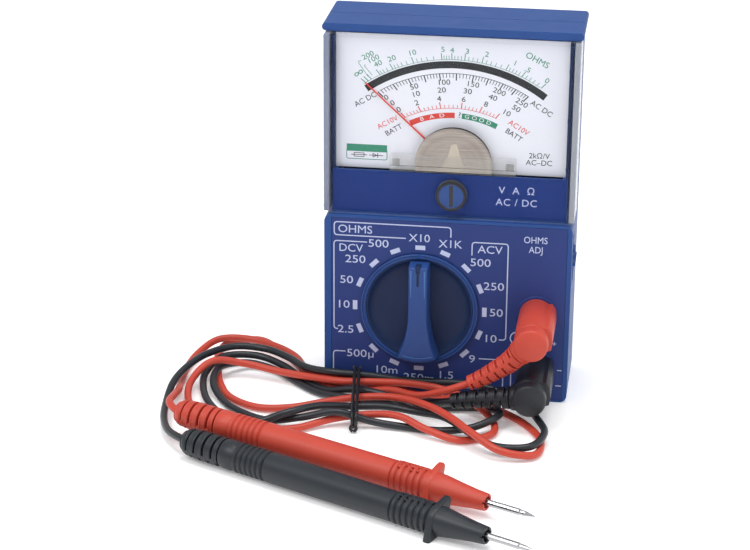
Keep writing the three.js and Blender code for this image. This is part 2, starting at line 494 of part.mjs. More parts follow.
function leadSet(side) {
  const material = LEAD_PAINT[side];
  const curve = smoothCurve(ROUTE[side]);
  const at = (t) => curve.getPointAt(Math.min(1, Math.max(0, t)));
  const share = RELIEF[side];
  add(leads, `${side}_plug_body`, elbow(side), material);
  add(leads, `${side}_plug_pin`, rod(JACK.x, JACK.z[side], PLUG.pin, FACE_Y + 1.4, FACE_Y + 11.6), BRASS);
  add(leads, `${side}_plug_strain_relief`, sweep((t) => at(0.0006 + t * share),
    (t) => 3.4 - 1.3 * t - (Math.floor(t * 11.99) % 2 ? 0.5 : 0), 28, 10), material);
  add(leads, `${side}_lead`, sweep((t) => at(share + 0.001 + t * (0.9985 - share)), () => LEAD_D / 2,
    Math.round((curve.getLength() * (1 - share)) / (LEAD_D * 2.2)), 8), material);
  const { back, tip } = PROBE_ENDS[side];
  const r = PROBE.r;
  const rib = (s) => [[s, r - 0.1], [s + 1.5, r - 0.1], [s + 1.6, r - 1], [s + 2.4, r - 1], [s + 2.5, r - 0.1]];
  add(leads, `${side}_probe_boot`, turned(back, tip,
    [[0.2, 3.2], [1.2, r - 0.2], ...[1.8, 4.6, 7.4, 10.2].flatMap(rib), [PROBE.boot - 0.2, r - 0.1]], 16), material);
  add(leads, `${side}_probe_handle`, turned(back, tip,
    [[PROBE.boot, r - 0.1], [17, r], [26, r], [30, r], [76, r - 0.1], [88, r], [89, r], [90.5, r - 0.2],
      [PROBE.guard, 4.75], [PROBE.nose - 0.1, 4.3]], 24), material);
  add(leads, `${side}_probe_nose`, turned(back, tip,
    [[PROBE.nose + 0.1, 4.3], [98, 3.9], [PROBE.tip - 0.2, 2.6]], 24), material);
  add(leads, `${side}_probe_pin`, turned(back, tip,
    [[PROBE.tip, 1], [PROBE.len - 5, 1], [PROBE.len - 4.5, 0.8], [PROBE.len - 3, 0.8], [PROBE.len, 0.15]], 12), STEEL);
}
leadSet('red');
leadSet('black');

// The tie goes once round the ten strands of the hank where they cross x = TIE.x.
const TIE = { x: -27, r: 0.5 };
const TIE_LOOP = [[-16, 0.65], [-22, 0.58], [-28, 0.58], [-34, 0.58], [-40, 0.6], [-43, 1.2], [-44.4, 3.5],
  [-43, 5.9], [-36, 6.7], [-29, 7.4], [-22, 8.6], [-16, 9.3], [-13.6, 7.6], [-13.2, 4.5], [-13.8, 1.6]];
const tieCurve = new THREE.CatmullRomCurve3(
  TIE_LOOP.map(([y, z]) => new THREE.Vector3(TIE.x, y, z)), true, 'centripetal');
add(leads, 'lead_tie', sweep((t) => tieCurve.getPoint(t), () => TIE.r, 60, 8, true), BLACK);

export default root;
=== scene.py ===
"""Looks of a pocket analogue multimeter and its tied test leads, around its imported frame."""
import json
import math
import random

import bmesh
import bpy
from mathutils import Euler, Matrix, Vector


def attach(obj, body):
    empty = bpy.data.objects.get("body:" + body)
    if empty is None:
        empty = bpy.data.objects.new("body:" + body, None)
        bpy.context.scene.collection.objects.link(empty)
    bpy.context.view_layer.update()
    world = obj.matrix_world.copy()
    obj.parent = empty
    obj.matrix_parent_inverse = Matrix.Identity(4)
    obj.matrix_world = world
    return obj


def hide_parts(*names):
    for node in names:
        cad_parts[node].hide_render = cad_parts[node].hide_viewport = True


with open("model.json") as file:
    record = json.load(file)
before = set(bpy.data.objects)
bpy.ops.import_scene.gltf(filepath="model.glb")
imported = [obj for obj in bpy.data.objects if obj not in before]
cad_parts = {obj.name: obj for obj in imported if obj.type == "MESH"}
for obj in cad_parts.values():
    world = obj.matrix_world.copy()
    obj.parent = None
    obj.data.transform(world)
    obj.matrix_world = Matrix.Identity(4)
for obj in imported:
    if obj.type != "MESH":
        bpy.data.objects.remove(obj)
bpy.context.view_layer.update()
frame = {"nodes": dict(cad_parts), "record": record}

MM = 0.001
FACE = -12.0                # front of the lower case, in mm
GLASS = FACE + 2.2          # back of the clear cover's front
METER = "meter"
PIVOT = (0.9, 78.6)         # pointer's axis in X and Z
ARC = (0.9, 63.4)           # middle of the printed arcs
KNOB = (-8.7, 30.4)
ZERO = (0.9, 69.6)
JACK_X = 29.4
JACK_Z = {"red": 30.6, "black": 11.6}
LEAD_D = 2.4
COLOURS = ("red", "black")


def added(name, data):
    """A new object that holds the data, in the scene."""
    thing = bpy.data.objects.new(name, data)
    bpy.context.scene.collection.objects.link(thing)
    return thing


# ---------------------------------------------------------------- camera, light and floor
CAMERA_AT = (0.0695, -0.6855, 0.3134)   # in metres
YAW, PITCH, ROLL = 0.137, 0.3808, 0.0059
LENS, FILM = 108.5, 36                  # in mm
FLOOR_SIZE = 4                          # half its side, in metres


def place_camera():
    ahead = Vector((-math.sin(YAW) * math.cos(PITCH), math.cos(YAW) * math.cos(PITCH),
                    -math.sin(PITCH)))
    right = Vector((math.cos(YAW), math.sin(YAW), 0))
    up = right.cross(ahead)
    c, s = math.cos(ROLL), math.sin(ROLL)
    side, top = right * c + up * s, up * c - right * s
    turn = Matrix((side, top, -ahead)).transposed().to_4x4()
    data = bpy.data.cameras.new("studio_camera")
    data.lens, data.sensor_width = LENS, FILM
    data.clip_start, data.clip_end = 0.01, 20
    camera = added("studio_camera", data)
    camera.matrix_world = Matrix.Translation(CAMERA_AT) @ turn
    bpy.context.scene.camera = camera


def place_light(name, place, power, size):
    data = bpy.data.lights.new(name, "AREA")
    data.energy, data.shape, data.size = power, "DISK", size
    lamp = added(name, data)
    lamp.location = place
    aim = Vector((0, 0, 0.05)) - Vector(place)
    lamp.rotation_euler = aim.to_track_quat("-Z", "Y").to_euler()


def lay_floor():
    bm = bmesh.new()
    bmesh.ops.create_grid(bm, x_segments=1, y_segments=1, size=FLOOR_SIZE)
    mesh = bpy.data.meshes.new("studio_floor")
    bm.to_mesh(mesh)
    bm.free()
    floor = added("studio_floor", mesh)
    paper = bpy.data.materials.new("floor_paper")
    paper.use_nodes = True
    shader = paper.node_tree.nodes["Principled BSDF"]
    for socket, value in (("Base Color", (0.95, 0.95, 0.95, 1)),
                          ("Emission Color", (1, 1, 1, 1)), ("Emission Strength", 0.2),
                          ("Roughness", 0.9), ("Specular IOR Level", 0.1)):
        shader.inputs[socket].default_value = value
    mesh.materials.append(paper)


world = bpy.data.worlds.new("studio_world")
bpy.context.scene.world = world
world.use_nodes = True
sky = world.node_tree.nodes["Background"].inputs
sky["Color"].default_value, sky["Strength"].default_value = (0.97, 0.98, 1, 1), 0.6
bpy.context.scene.view_settings.view_transform = "Standard"
place_camera()
place_light("key_light", (-0.7, -0.7, 1.35), 9, 0.7)
place_light("fill_light", (1.3, -0.4, 0.7), 3.2, 0.8)
place_light("top_light", (0.15, -0.1, 1.5), 10, 0.8)
lay_floor()


# ---------------------------------------------------------------- shader maths
def sums(operation, reflected=False):
    """An operator of Link, done by a Math node."""
    def act(self, other):
        first, second = (other, self) if reflected else (self, other)
        return self.finish.node("ShaderNodeMath", {"operation": operation}, {0: first, 1: second})
    return act


class Link:
    """A shader socket that takes part in sums; the work is done by Math nodes."""

    def __init__(self, finish, socket):
        self.finish, self.socket = finish, socket

    __add__, __radd__ = sums("ADD"), sums("ADD", True)
    __sub__, __rsub__ = sums("SUBTRACT"), sums("SUBTRACT", True)
    __mul__, __rmul__ = sums("MULTIPLY"), sums("MULTIPLY", True)
    __pow__ = sums("POWER")


class Finish:
    """A procedural material on Object coordinates."""

    def __init__(self, name, **fixed):
        self.material = bpy.data.materials.new(name)
        self.material.use_nodes = True
        self.tree = self.material.node_tree
        self.shader = self.tree.nodes["Principled BSDF"]
        for socket, value in fixed.items():
            self.shader.inputs[socket.replace("_", " ")].default_value = value
        self.place = self.node("ShaderNodeTexCoord", output="Object")

    def node(self, kind, settings=None, inputs=None, output=0):
        made = self.tree.nodes.new(kind)
        for key, value in (settings or {}).items():
            setattr(made, key, value)
        for key, value in (inputs or {}).items():
            if isinstance(value, Link):
                self.tree.links.new(value.socket, made.inputs[key])
            else:
                made.inputs[key].default_value = value
        return Link(self, made.outputs[output])

    def feed(self, socket, value):
        self.tree.links.new(value.socket, self.shader.inputs[socket])

    def noise(self, scale, detail, stretch=(1, 1, 1)):
        spot = self.node("ShaderNodeMapping", {}, {
            "Vector": self.place, "Scale": stretch}, "Vector")
        return self.node("ShaderNodeTexNoise", {}, {
            "Vector": spot, "Scale": scale, "Detail": detail, "Roughness": 0.6}, "Fac")

    def blend(self, share, first, second):
        return self.node("ShaderNodeMix", {"data_type": "RGBA"}, {
            0: share, 6: first, 7: second}, 2)

    def bump(self, height, strength, depth):
        self.feed("Normal", self.node("ShaderNodeBump", {}, {
            "Height": height, "Strength": strength, "Distance": depth}, "Normal"))


def shade(colour, by):
    return tuple(min(1.0, c * by) for c in colour[:3]) + (1.0,)


def moulded(name, colour, rough, grain=2600, vary=0.1, strength=0.35, **fixed):
    """Moulded plastic: faint flow marks, a fine spark-eroded grain and handled sheen."""
    f = Finish(name, **fixed)
    flow = f.noise(55, 3)
    f.feed("Base Color", f.blend(flow, shade(colour, 1 - vary), shade(colour, 1 + vary)))
    fine = f.noise(grain, 2)
    f.feed("Roughness", f.noise(140, 4) * 0.14 + fine * 0.06 + (rough - 0.1))
    f.bump(fine + f.noise(320, 2) * 0.4, strength, 0.00003)
    return f.material


def metal(name, colour, rough, stretch=(1, 1, 1)):
    """Bare metal with drawn lines and a little tarnish."""
    f = Finish(name, Metallic=1.0)
    lines = f.noise(900, 3, stretch)
    tarnish = f.noise(120, 4)
    f.feed("Base Color", f.blend(tarnish, shade(colour, 0.88), shade(colour, 1.06)))
    f.feed("Roughness", lines * 0.16 + tarnish * 0.12 + (rough - 0.12))
    f.bump(lines, 0.25, 0.00002)
    return f.material


def ink(name, colour, rough=0.5):
    """Screen printed ink: slightly uneven cover, with its gloss and a faint bump varying along
    with it.
    """
    f = Finish(name)
    patch = f.noise(900, 2)
    f.feed("Base Color", f.blend(patch, shade(colour, 0.88), shade(colour, 1.06)))
    f.feed("Roughness", patch * 0.2 + (rough - 0.1))
    f.bump(patch, 0.2, 0.00001)
    return f.material


def clear(name, colour, low, edge, rough=0.06):
    """Clear moulding: nearly nothing face on, brighter and denser at its edges."""
    f = Finish(name, Specular_IOR_Level=0.6)
    facing = f.node("ShaderNodeLayerWeight", {}, {"Blend": 0.35}, "Facing")
    haze = f.noise(180, 3)
    f.feed("Base Color", f.blend(haze, shade(colour, 0.94), colour))
    f.feed("Alpha", facing ** 3.5 * edge + haze * 0.004 + low)
    f.feed("Roughness", haze * 0.06 + rough)
    f.bump(f.noise(60, 2), 0.06, 0.00004)
    return f.material


def streaked(name, dark, light):
    """Smoky mica of the movement's window, brushed round the pointer's axis."""
    f = Finish(name)
    spot = f.node("ShaderNodeMapping", {}, {
        "Vector": f.place, "Location": (-PIVOT[0] * MM, 0, -PIVOT[1] * MM)}, "Vector")
    far = f.node("ShaderNodeVectorMath", {"operation": "LENGTH"}, {0: spot}, "Value")
    rings = f.node("ShaderNodeTexNoise", {"noise_dimensions": "1D"}, {
        "W": far, "Scale": 900, "Detail": 3}, "Fac")
    lines = f.noise(90, 4, (0.4, 1, 26))
    warm = f.noise(75, 2)
    f.feed("Base Color", f.blend(rings * 0.35 + lines * 0.4 + warm * 0.35, dark, light))
    f.feed("Roughness", lines * 0.25 + 0.25)
    f.feed("Alpha", lines * 0.4 + 0.5)
    f.bump(lines, 0.15, 0.00002)
    return f.material


def jacket(name, colour, rough):
    """Flexible vinyl: soft waxy sheen, dust specks and faint drawing lines."""
    f = Finish(name, Specular_IOR_Level=0.4)
    cloud = f.noise(70, 3)
    f.feed("Base Color", f.blend(cloud, shade(colour, 0.86), shade(colour, 1.12)))
    fine = f.noise(2400, 2)
    f.feed("Roughness", cloud * 0.12 + fine * 0.08 + (rough - 0.1))
    f.bump(fine + f.noise(420, 2) * 0.5, 0.22, 0.00003)
    return f.material


BLUE = (0.02, 0.069, 0.25, 1)
PANEL = (0.02, 0.042, 0.185, 1)
RED = (0.53, 0.058, 0.033, 1)
BLACK = (0.018, 0.022, 0.027, 1)
LILAC = (0.52, 0.58, 0.8, 1)
paints = {
    "case_blue": moulded("case_blue", BLUE, 0.44, Specular_IOR_Level=0.25),
    "band_blue": moulded("band_blue", (0.012, 0.036, 0.19, 1), 0.5, vary=0.03, strength=0.08,
                         Specular_IOR_Level=0.15),
    "label_blue": moulded("label_blue", PANEL, 0.5, grain=3400, vary=0.07, Specular_IOR_Level=0.3),
    # Painted shade: knob_navy is a darker copy of knob_bar's blue, standing for the shade in the
    # knob's deep dish, its slot and the cover's side gaps.
    "knob_navy": moulded("knob_navy", (0.008, 0.024, 0.08, 1), 0.45, Specular_IOR_Level=0.3),
    "knob_bar": moulded("knob_bar", (0.022, 0.066, 0.24, 1), 0.4, Specular_IOR_Level=0.35),
    # Painted highlight: a lighter blue for the bright edges of the knob's bar.
    "bar_painted_highlight": moulded("bar_painted_highlight", (0.05, 0.16, 0.42, 1), 0.4),
    "clear_window": clear("clear_window", (0.97, 0.98, 1, 1), 0.0, 0.55),
    "clear_box": clear("clear_box", (0.72, 0.72, 0.7, 1), 0.14, 0.7, 0.15),
    "pillar_haze": clear("pillar_haze", (0.85, 0.77, 0.64, 1), 0.42, 0.2, 0.3),
    # Painted light and shade: lit and shaded copies of the clear moulding, for the cover's right
    # and left walls.
    "wall_painted_lit": clear("wall_painted_lit", (0.44, 0.47, 0.52, 1), 0.62, 0.3, 0.12),
    "wall_painted_shade": clear("wall_painted_shade", (0.24, 0.27, 0.38, 1), 0.82, 0.15, 0.12),
    "movement_shade": streaked("movement_shade", (0.13, 0.1, 0.085, 1), (0.72, 0.65, 0.58, 1)),
    "dial_paint": moulded("dial_paint", (0.78, 0.8, 0.87, 1), 0.6, grain=1500, vary=0.02,
                          strength=0.1),
    "pointer_red": ink("pointer_red", (0.72, 0.05, 0.03, 1), 0.4),
    "brass": metal("brass", (0.72, 0.52, 0.24), 0.3),
    "steel": metal("steel", (0.46, 0.46, 0.47), 0.2, (6, 6, 1)),
    "iron": metal("iron", (0.34, 0.34, 0.35), 0.45),
    "copper": metal("copper", (0.7, 0.34, 0.18), 0.35, (1, 30, 1)),
    "rotor_white": moulded("rotor_white", (0.78, 0.76, 0.7, 1), 0.5),
    "board_laminate": moulded("board_laminate", (0.42, 0.24, 0.08, 1), 0.5, vary=0.2),
    "black_moulding": moulded("black_moulding", (0.02, 0.021, 0.024, 1), 0.45),
    "resistor_tan": moulded("resistor_tan", (0.6, 0.42, 0.22, 1), 0.35),
    "cell_sleeve": moulded("cell_sleeve", (0.04, 0.22, 0.11, 1), 0.3),
    "red_vinyl": jacket("red_vinyl", RED, 0.45),
    "black_vinyl": jacket("black_vinyl", BLACK, 0.42),
    "red_lead_jacket": jacket("red_lead_jacket", RED, 0.42),
    "black_lead_jacket": jacket("black_lead_jacket", BLACK, 0.36),
    "tie_black": jacket("tie_black", (0.012, 0.013, 0.015, 1), 0.4),
    "ink_lilac": ink("ink_lilac", LILAC),
    "ink_black": ink("ink_black", (0.018, 0.018, 0.022, 1)),
    # Painted reflection: the dial's mirror strip as flat dark ink, standing for what the mirror
    # reflects.
    "mirror_painted_reflection": ink("mirror_painted_reflection", (0.01, 0.014, 0.018, 1), 0.5),
    "ink_green": ink("ink_green", (0.03, 0.25, 0.15, 1)),
    "ink_red": ink("ink_red", (0.68, 0.05, 0.035, 1)),
    "ink_white": ink("ink_white", (0.85, 0.86, 0.88, 1)),
}
slot_of = {row["node"]: row["material_slot"] for row in frame["record"]["subparts"]}
for node_name, cad in frame["nodes"].items():
    cad.data.materials.clear()
    cad.data.materials.append(paints[slot_of[node_name]])


# ---------------------------------------------------------------- mesh helpers
def enter(name, mesh, body, slot, paint=None, instead=()):
    """Makes a mesh a piece of the object."""
    piece = added(name, mesh)
    mesh.materials.clear()
    mesh.materials.append(paints[paint or slot])
    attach(piece, body)
    if instead:
        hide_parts(*instead)
    return piece


def finished(bm, name, sharp=32):
    """A bmesh in millimetres as a mesh in metres, smooth but for its sharp edges."""
    bm.transform(Matrix.Scale(MM, 4))
    bm.normal_update()
    for face in bm.faces:
        face.smooth = True
    for edge in bm.edges:
        if len(edge.link_faces) == 2 and edge.calc_face_angle(0) > math.radians(sharp):
            edge.smooth = False
    mesh = bpy.data.meshes.new(name)
    bm.to_mesh(mesh)
    bm.free()
    return mesh


def keep(name, bm, slot, paint=None, body=METER, instead=(), sharp=32):
    """Makes a bmesh in millimetres a piece of the object."""
    return enter(name, finished(bm, name, sharp), body, slot, paint, instead)


def merged_copy(node):
    """A CAD node's mesh in millimetres, its points joined and its flats made whole."""
    bm = bmesh.new()
    bm.from_mesh(frame["nodes"][node].data)
    bm.transform(Matrix.Scale(1 / MM, 4))
    bmesh.ops.remove_doubles(bm, verts=bm.verts, dist=0.001)
    bmesh.ops.dissolve_limit(bm, angle_limit=math.radians(0.6), verts=bm.verts, edges=bm.edges)
    return bm


def round_edges(bm, width, steps=2, angle=38, chosen=None):
    edges = [e for e in bm.edges if len(e.link_faces) == 2
             and e.calc_face_angle(0) > math.radians(angle) and (chosen is None or chosen(e))]
    bmesh.ops.bevel(bm, geom=edges, offset=width, segments=steps, profile=0.5,
                    affect="EDGES", clamp_overlap=True)


def softened(name, node, width, slot, paint=None, body=METER, steps=2):
    """A CAD node's own shape with its edges rounded."""
    bm = merged_copy(node)
    round_edges(bm, width, steps)
    return keep(name, bm, slot, paint, body, [node])


def arc_points(radius, start, end, steps, centre=(0, 0)):
    """Points on an arc, from one angle to the other, in degrees."""
    turns = [math.radians(start + (end - start) * k / steps) for k in range(steps + 1)]
    return [(centre[0] + radius * math.cos(a), centre[1] + radius * math.sin(a)) for a in turns]


def circle(radius, sides, centre=(0, 0)):
    return arc_points(radius, 0, 360, sides, centre)[:-1]


def skin(bm, rows):
    """Faces from each row of points to the next, with both ends closed."""
    n = len(rows[0])
    faces = [bm.faces.new(rows[0][::-1]), bm.faces.new(rows[-1])]
    for low, high in zip(rows, rows[1:]):
        faces += [bm.faces.new((low[i], low[(i + 1) % n], high[(i + 1) % n], high[i]))
                  for i in range(n)]
    bmesh.ops.recalc_face_normals(bm, faces=faces)
    return [v for row in rows for v in row]


def add_box(bm, low, high, bevel=0.0, steps=2):
    made = bmesh.ops.create_cube(bm, size=1)["verts"]
    size = [b - a for a, b in zip(low, high)]
    mid = [(a + b) / 2 for a, b in zip(low, high)]
    place = Matrix.Translation(mid) @ Matrix.Diagonal((*size, 1))
    bmesh.ops.transform(bm, matrix=place, verts=made)
    if bevel:
        edges = {e for v in made for e in v.link_edges}
        made = bmesh.ops.bevel(bm, geom=list(edges), offset=bevel, segments=steps, profile=0.5,
                               affect="EDGES", clamp_overlap=True)["verts"]
    return made


def add_prism(bm, outline, y0, y1):
    """An outline in X and Z, given thickness from y0 to y1."""
    return skin(bm, [[bm.verts.new((x, y, z)) for x, z in outline] for y in (y0, y1)])


def add_turned(bm, profile, start=(0, 0, 0), toward=(0, 0, 1), sides=40):
    """A solid turned about the line from start: profile = [(distance, radius), ...]."""
    axis = (Vector(toward) - Vector(start)).normalized()
    place = Matrix.Translation(start) @ axis.to_track_quat("Z", "Y").to_matrix().to_4x4()
    rows, faces = [], []
    for s, r in profile:
        if r < 1e-6:
            rows.append([bm.verts.new((0, 0, s))])
        else:
            rows.append([bm.verts.new((x, y, s)) for x, y in circle(r, sides)])
    for low, high in zip(rows, rows[1:]):
        for k in range(sides):
            n = (k + 1) % sides
            corner = [low[k % len(low)], low[n % len(low)],
                      high[n % len(high)], high[k % len(high)]]
            corner = list(dict.fromkeys(corner))
            if len(corner) > 2:
                faces.append(bm.faces.new(corner))
    for row, flip in ((rows[0], True), (rows[-1], False)):
        if len(row) > 1:
            faces.append(bm.faces.new(row[::-1] if flip else row))
    made = [v for row in rows for v in row]
    bmesh.ops.transform(bm, matrix=place, verts=made)
    bmesh.ops.recalc_face_normals(bm, faces=faces)
    return made


def turned_piece(name, profile, start, toward, slot, paint=None, body=METER, sides=48, instead=()):
    bm = bmesh.new()
    add_turned(bm, profile, start, toward, sides)
    return keep(name, bm, slot, paint, body, instead)


def add_tube(bm, points, radius, sides=12, closed=False):
    """A tube along points; radius is a number or a function of the share along it."""
    n = len(points)
    rows = []
    side = None
    for i, p in enumerate(points):
        before = points[i - 1] if i or closed else points[0]
        after = points[(i + 1) % n] if i < n - 1 or closed else points[-1]
        ahead = (Vector(after) - Vector(before)).normalized()
        if side is None:
            side = Vector((1, 0, 0)) if abs(ahead.x) < 0.8 else Vector((0, 0, 1))
        u = (side - ahead * side.dot(ahead)).normalized()
        v = ahead.cross(u)
        side = side if closed else u
        r = radius(i / max(1, n - 1)) if callable(radius) else radius
        rows.append([bm.verts.new(Vector(p) + u * x + v * y) for x, y in circle(r, sides)])
    faces = []
    for i in range(n if closed else n - 1):
        a, b = rows[i], rows[(i + 1) % n]
        faces += [bm.faces.new((a[k], a[(k + 1) % sides], b[(k + 1) % sides], b[k]))
                  for k in range(sides)]
    if not closed:
        faces += [bm.faces.new(rows[0][::-1]), bm.faces.new(rows[-1])]
    bmesh.ops.recalc_face_normals(bm, faces=faces)


def spline(points, steps, closed=False):
    """Points along a smooth curve through the given ones."""
    pts = [Vector(p) for p in points]
    n = len(pts)
    made = []
    for i in range(n if closed else n - 1):
        b, c = pts[i], pts[(i + 1) % n]
        a = pts[i - 1] if i or closed else b * 2 - c
        d = pts[(i + 2) % n] if i + 2 < n or closed else c * 2 - b
        for k in range(steps):
            t = k / steps
            made.append(0.5 * (2 * b + (c - a) * t + (2 * a - 5 * b + 4 * c - d) * t ** 2
                               + (3 * b - 3 * c + d - a) * t ** 3))
    return made if closed else made + [pts[-1]]


# ---------------------------------------------------------------- repeated shapes
def repeat_tree():
    """Puts a pattern on every point, turned by "turn" and scaled by "stretch", then paints it."""
    tree = bpy.data.node_groups.new("repeat_pattern", "GeometryNodeTree")
    for name, kind in (("Geometry", "Geometry"), ("Pattern", "Object"), ("Size", "Float"),
                       ("Paint", "Material")):
        tree.interface.new_socket(name=name, in_out="INPUT", socket_type="NodeSocket" + kind)
    tree.interface.new_socket(name="Geometry", in_out="OUTPUT",
                              socket_type="NodeSocketGeometry")
    add = tree.nodes.new
    given, done = add("NodeGroupInput"), add("NodeGroupOutput")
    pattern, put = add("GeometryNodeObjectInfo"), add("GeometryNodeInstanceOnPoints")
    turn, stretch = (add("GeometryNodeInputNamedAttribute") for _ in range(2))
    scale = add("ShaderNodeVectorMath")
    real, paint = add("GeometryNodeRealizeInstances"), add("GeometryNodeSetMaterial")
    for node, name in ((turn, "turn"), (stretch, "stretch")):
        node.data_type = "FLOAT_VECTOR"
        node.inputs["Name"].default_value = name
    scale.operation = "SCALE"
    for source, output, target, socket in (
            (given, "Geometry", put, "Points"), (given, "Pattern", pattern, "Object"),
            (pattern, "Geometry", put, "Instance"), (turn, "Attribute", put, "Rotation"),
            (stretch, "Attribute", scale, 0), (given, "Size", scale, "Scale"),
            (scale, "Vector", put, "Scale"), (put, "Instances", real, "Geometry"),
            (real, "Geometry", paint, "Geometry"), (given, "Paint", paint, "Material"),
            (paint, "Geometry", done, "Geometry")):
        tree.links.new(source.outputs[output], target.inputs[socket])
    return tree


REPEAT = repeat_tree()


def repeated(name, pattern_bm, spots, slot, paint=None):
    """spots = [(place in mm, Euler turn, stretch)]; the pattern is drawn about the origin."""
    pattern = added(name + "_pattern", finished(pattern_bm, name + "_pattern"))
    points = bpy.data.meshes.new(name + "_points")
    points.from_pydata([tuple(c * MM for c in place) for place, _, _ in spots], [], [])
    for key, column in (("turn", 1), ("stretch", 2)):
        layer = points.attributes.new(key, "FLOAT_VECTOR", "POINT")
        for i, spot in enumerate(spots):
            layer.data[i].vector = tuple(spot[column])
    holder = added(name + "_points", points)
    live = holder.modifiers.new("repeat", "NODES")
    live.node_group = REPEAT
    inputs = {s.name: s.identifier for s in REPEAT.interface.items_tree if s.in_out == "INPUT"}
    live[inputs["Pattern"]] = pattern
    live[inputs["Size"]] = 1.0
    live[inputs["Paint"]] = paints[paint or slot]
    graph = bpy.context.evaluated_depsgraph_get()
    mesh = bpy.data.meshes.new_from_object(holder.evaluated_get(graph))
    mesh.name = name
    for spare in (holder, pattern):
        bpy.data.objects.remove(spare)
    return enter(name, mesh, METER, slot, paint)


# ---------------------------------------------------------------- leads: the cords come first
ROUTE = {
    "red": [
        (21.8, -32, 21.6), (12.5, -31.5, 15.2), (2.5, -31, 10.6), (-7, -27.5, 6.5),
        (-16.5, -20.5, 4.5),
        (-27, -17.5, 2.5), (-38.5, -15, 2), (-47, -6.5, 2), (-52.5, 3.5, 1.5), (-59.5, 13, 1.5),
        (-68, 20.5, 1.5), (-78, 16.5, 1.5), (-79.5, 5, 1.5), (-77, -6.5, 1.5), (-74, -17.5, 1.5),
        (-68.5, -27.5, 1.5), (-58.5, -33.5, 1.5), (-47.5, -33, 2), (-36.5, -29, 3),
        (-25, -27, 4.5),
        (-14, -29, 6), (-4, -35, 7), (4.5, -42.5, 7), (12.5, -51, 6), (22, -57.5, 3.5),
        (32.5, -55.5, 1.7), (34, -45, 1.5), (29, -34.5, 1.5), (21, -26, 1.5), (11.5, -19.5, 1.5),
        (0.5, -16.5, 4), (-11, -16.5, 5.5), (-22.5, -18, 6), (-34, -18, 5.5), (-45, -14, 4.5),
        (-56, -10, 4), (-67, -8, 5), (-77.5, -11.5, 7), (-82.8, -20.5, 4), (-81.8, -31.5, 1.6),
        (-75.5, -41, 1.5), (-66, -47.5, 1.5), (-55, -49.5, 1.5), (-43.5, -47, 1.5),
        (-33.5, -41, 2.5), (-23, -37, 3), (-12, -39.5, 4.5), (-2, -45, 3), (9, -48, 1.5),
        (18.5, -41.5, 1.5), (16.5, -30.5, 2), (7.5, -23.5, 4.5), (-2.5, -18.5, 1.5),
        (-13.5, -14.5, 1.9), (-25, -15, 4), (-36.5, -15, 5), (-46, -9, 4.5), (-52, 1.5, 4.5),
        (-60, 10, 4), (-70.5, 15, 4), (-80.5, 13, 4.2), (-86, 4.5, 2.5), (-87.8, -6.5, 1.5),
        (-87.2, -18, 1.5), (-85.5, -29.5, 4), (-84.2, -40.5, 7.5), (-83.8, -49.5, 9),
        (-79.9, -54.7, 8.5),
    ],
    "black": [
        (21, -32, 9.8), (10, -32, 8.4), (0.5, -29.5, 5.6), (-8, -23, 2.5), (-19, -24, 2),
        (-30, -24, 2.5), (-40.5, -19.5, 1.5), (-49, -12.5, 1.5), (-57, -4.5, 1.5),
        (-67.5, -1.5, 2.5), (-75.5, -9, 4), (-76, -19.5, 3), (-71, -29.5, 1.5),
        (-63.5, -37.5, 1.5),
        (-53.5, -42.5, 1.5), (-42.5, -43, 3.5), (-31.5, -41.5, 5.5), (-20.5, -40.5, 2.5),
        (-9.5, -41, 1.5), (2, -42, 1.5), (12.5, -41, 3), (20, -33.5, 4.5), (15, -24.5, 2),
        (4, -24.5, 1.5), (-7, -27, 1.5), (-18, -24.5, 4.5), (-28.5, -21.5, 4.5), (-38.5, -18, 2),
        (-47.5, -10.5, 2), (-55.5, -3, 3), (-65.5, 1.5, 4), (-76, -2, 4.5), (-80, -12, 3),
        (-78.5, -23.5, 2.5), (-74.5, -33.5, 2), (-67.5, -42.5, 2), (-57.5, -47, 2.5),
        (-47, -44.5, 5.5), (-38, -38, 5.5), (-28, -32.5, 3.5), (-17, -31, 3.5),
        (-6.5, -33.5, 3.5),
        (3, -39.5, 5), (11.5, -47, 4), (20, -53.5, 3), (31, -53.5, 3.5), (35, -44, 4),
        (32, -33, 3.5), (27.5, -23, 3), (19.5, -15, 3.5), (9, -14, 5.5), (-2.5, -14, 5.5),
        (-13.5, -14, 5.5), (-24.5, -15.5, 7), (-36, -15.5, 7.5), (-46, -11, 6.5), (-53.5, -3, 6),
        (-62.5, 3, 6), (-73, 2.5, 6.5), (-81, -5, 6.5), (-85.5, -14.5, 6), (-88, -25.5, 4.9),
        (-88, -37, 2.5), (-86, -48.5, 2.5), (-82, -59, 3.5), (-75.1, -67.4, 4.9),
    ],
}
PROBE_BACK = {"red": Vector((-79.6, -54.8, 8.5)), "black": Vector((-74.7, -67.6, 4.9))}
PROBE_TIP = {"red": Vector((35.4, -100.8, 4.6)), "black": Vector((36, -121.3, 4.8))}
PLUG_REACH = 26.4                       # from the face to the plug's end disc, in mm
NECK = 6.2                              # from the plug's axis to the first rib, in mm
GUARD_AT = {"red": 89.7, "black": 91.2}  # finger guard, in mm from the handle's back
EAR_TURN = 0.85                         # of the guard's ears from upright, in radians
TABLE_GAP = 0.05
IN_HANDLE = (7, 20, 34, 49, 64)         # the lead's points inside a handle, in mm from its back


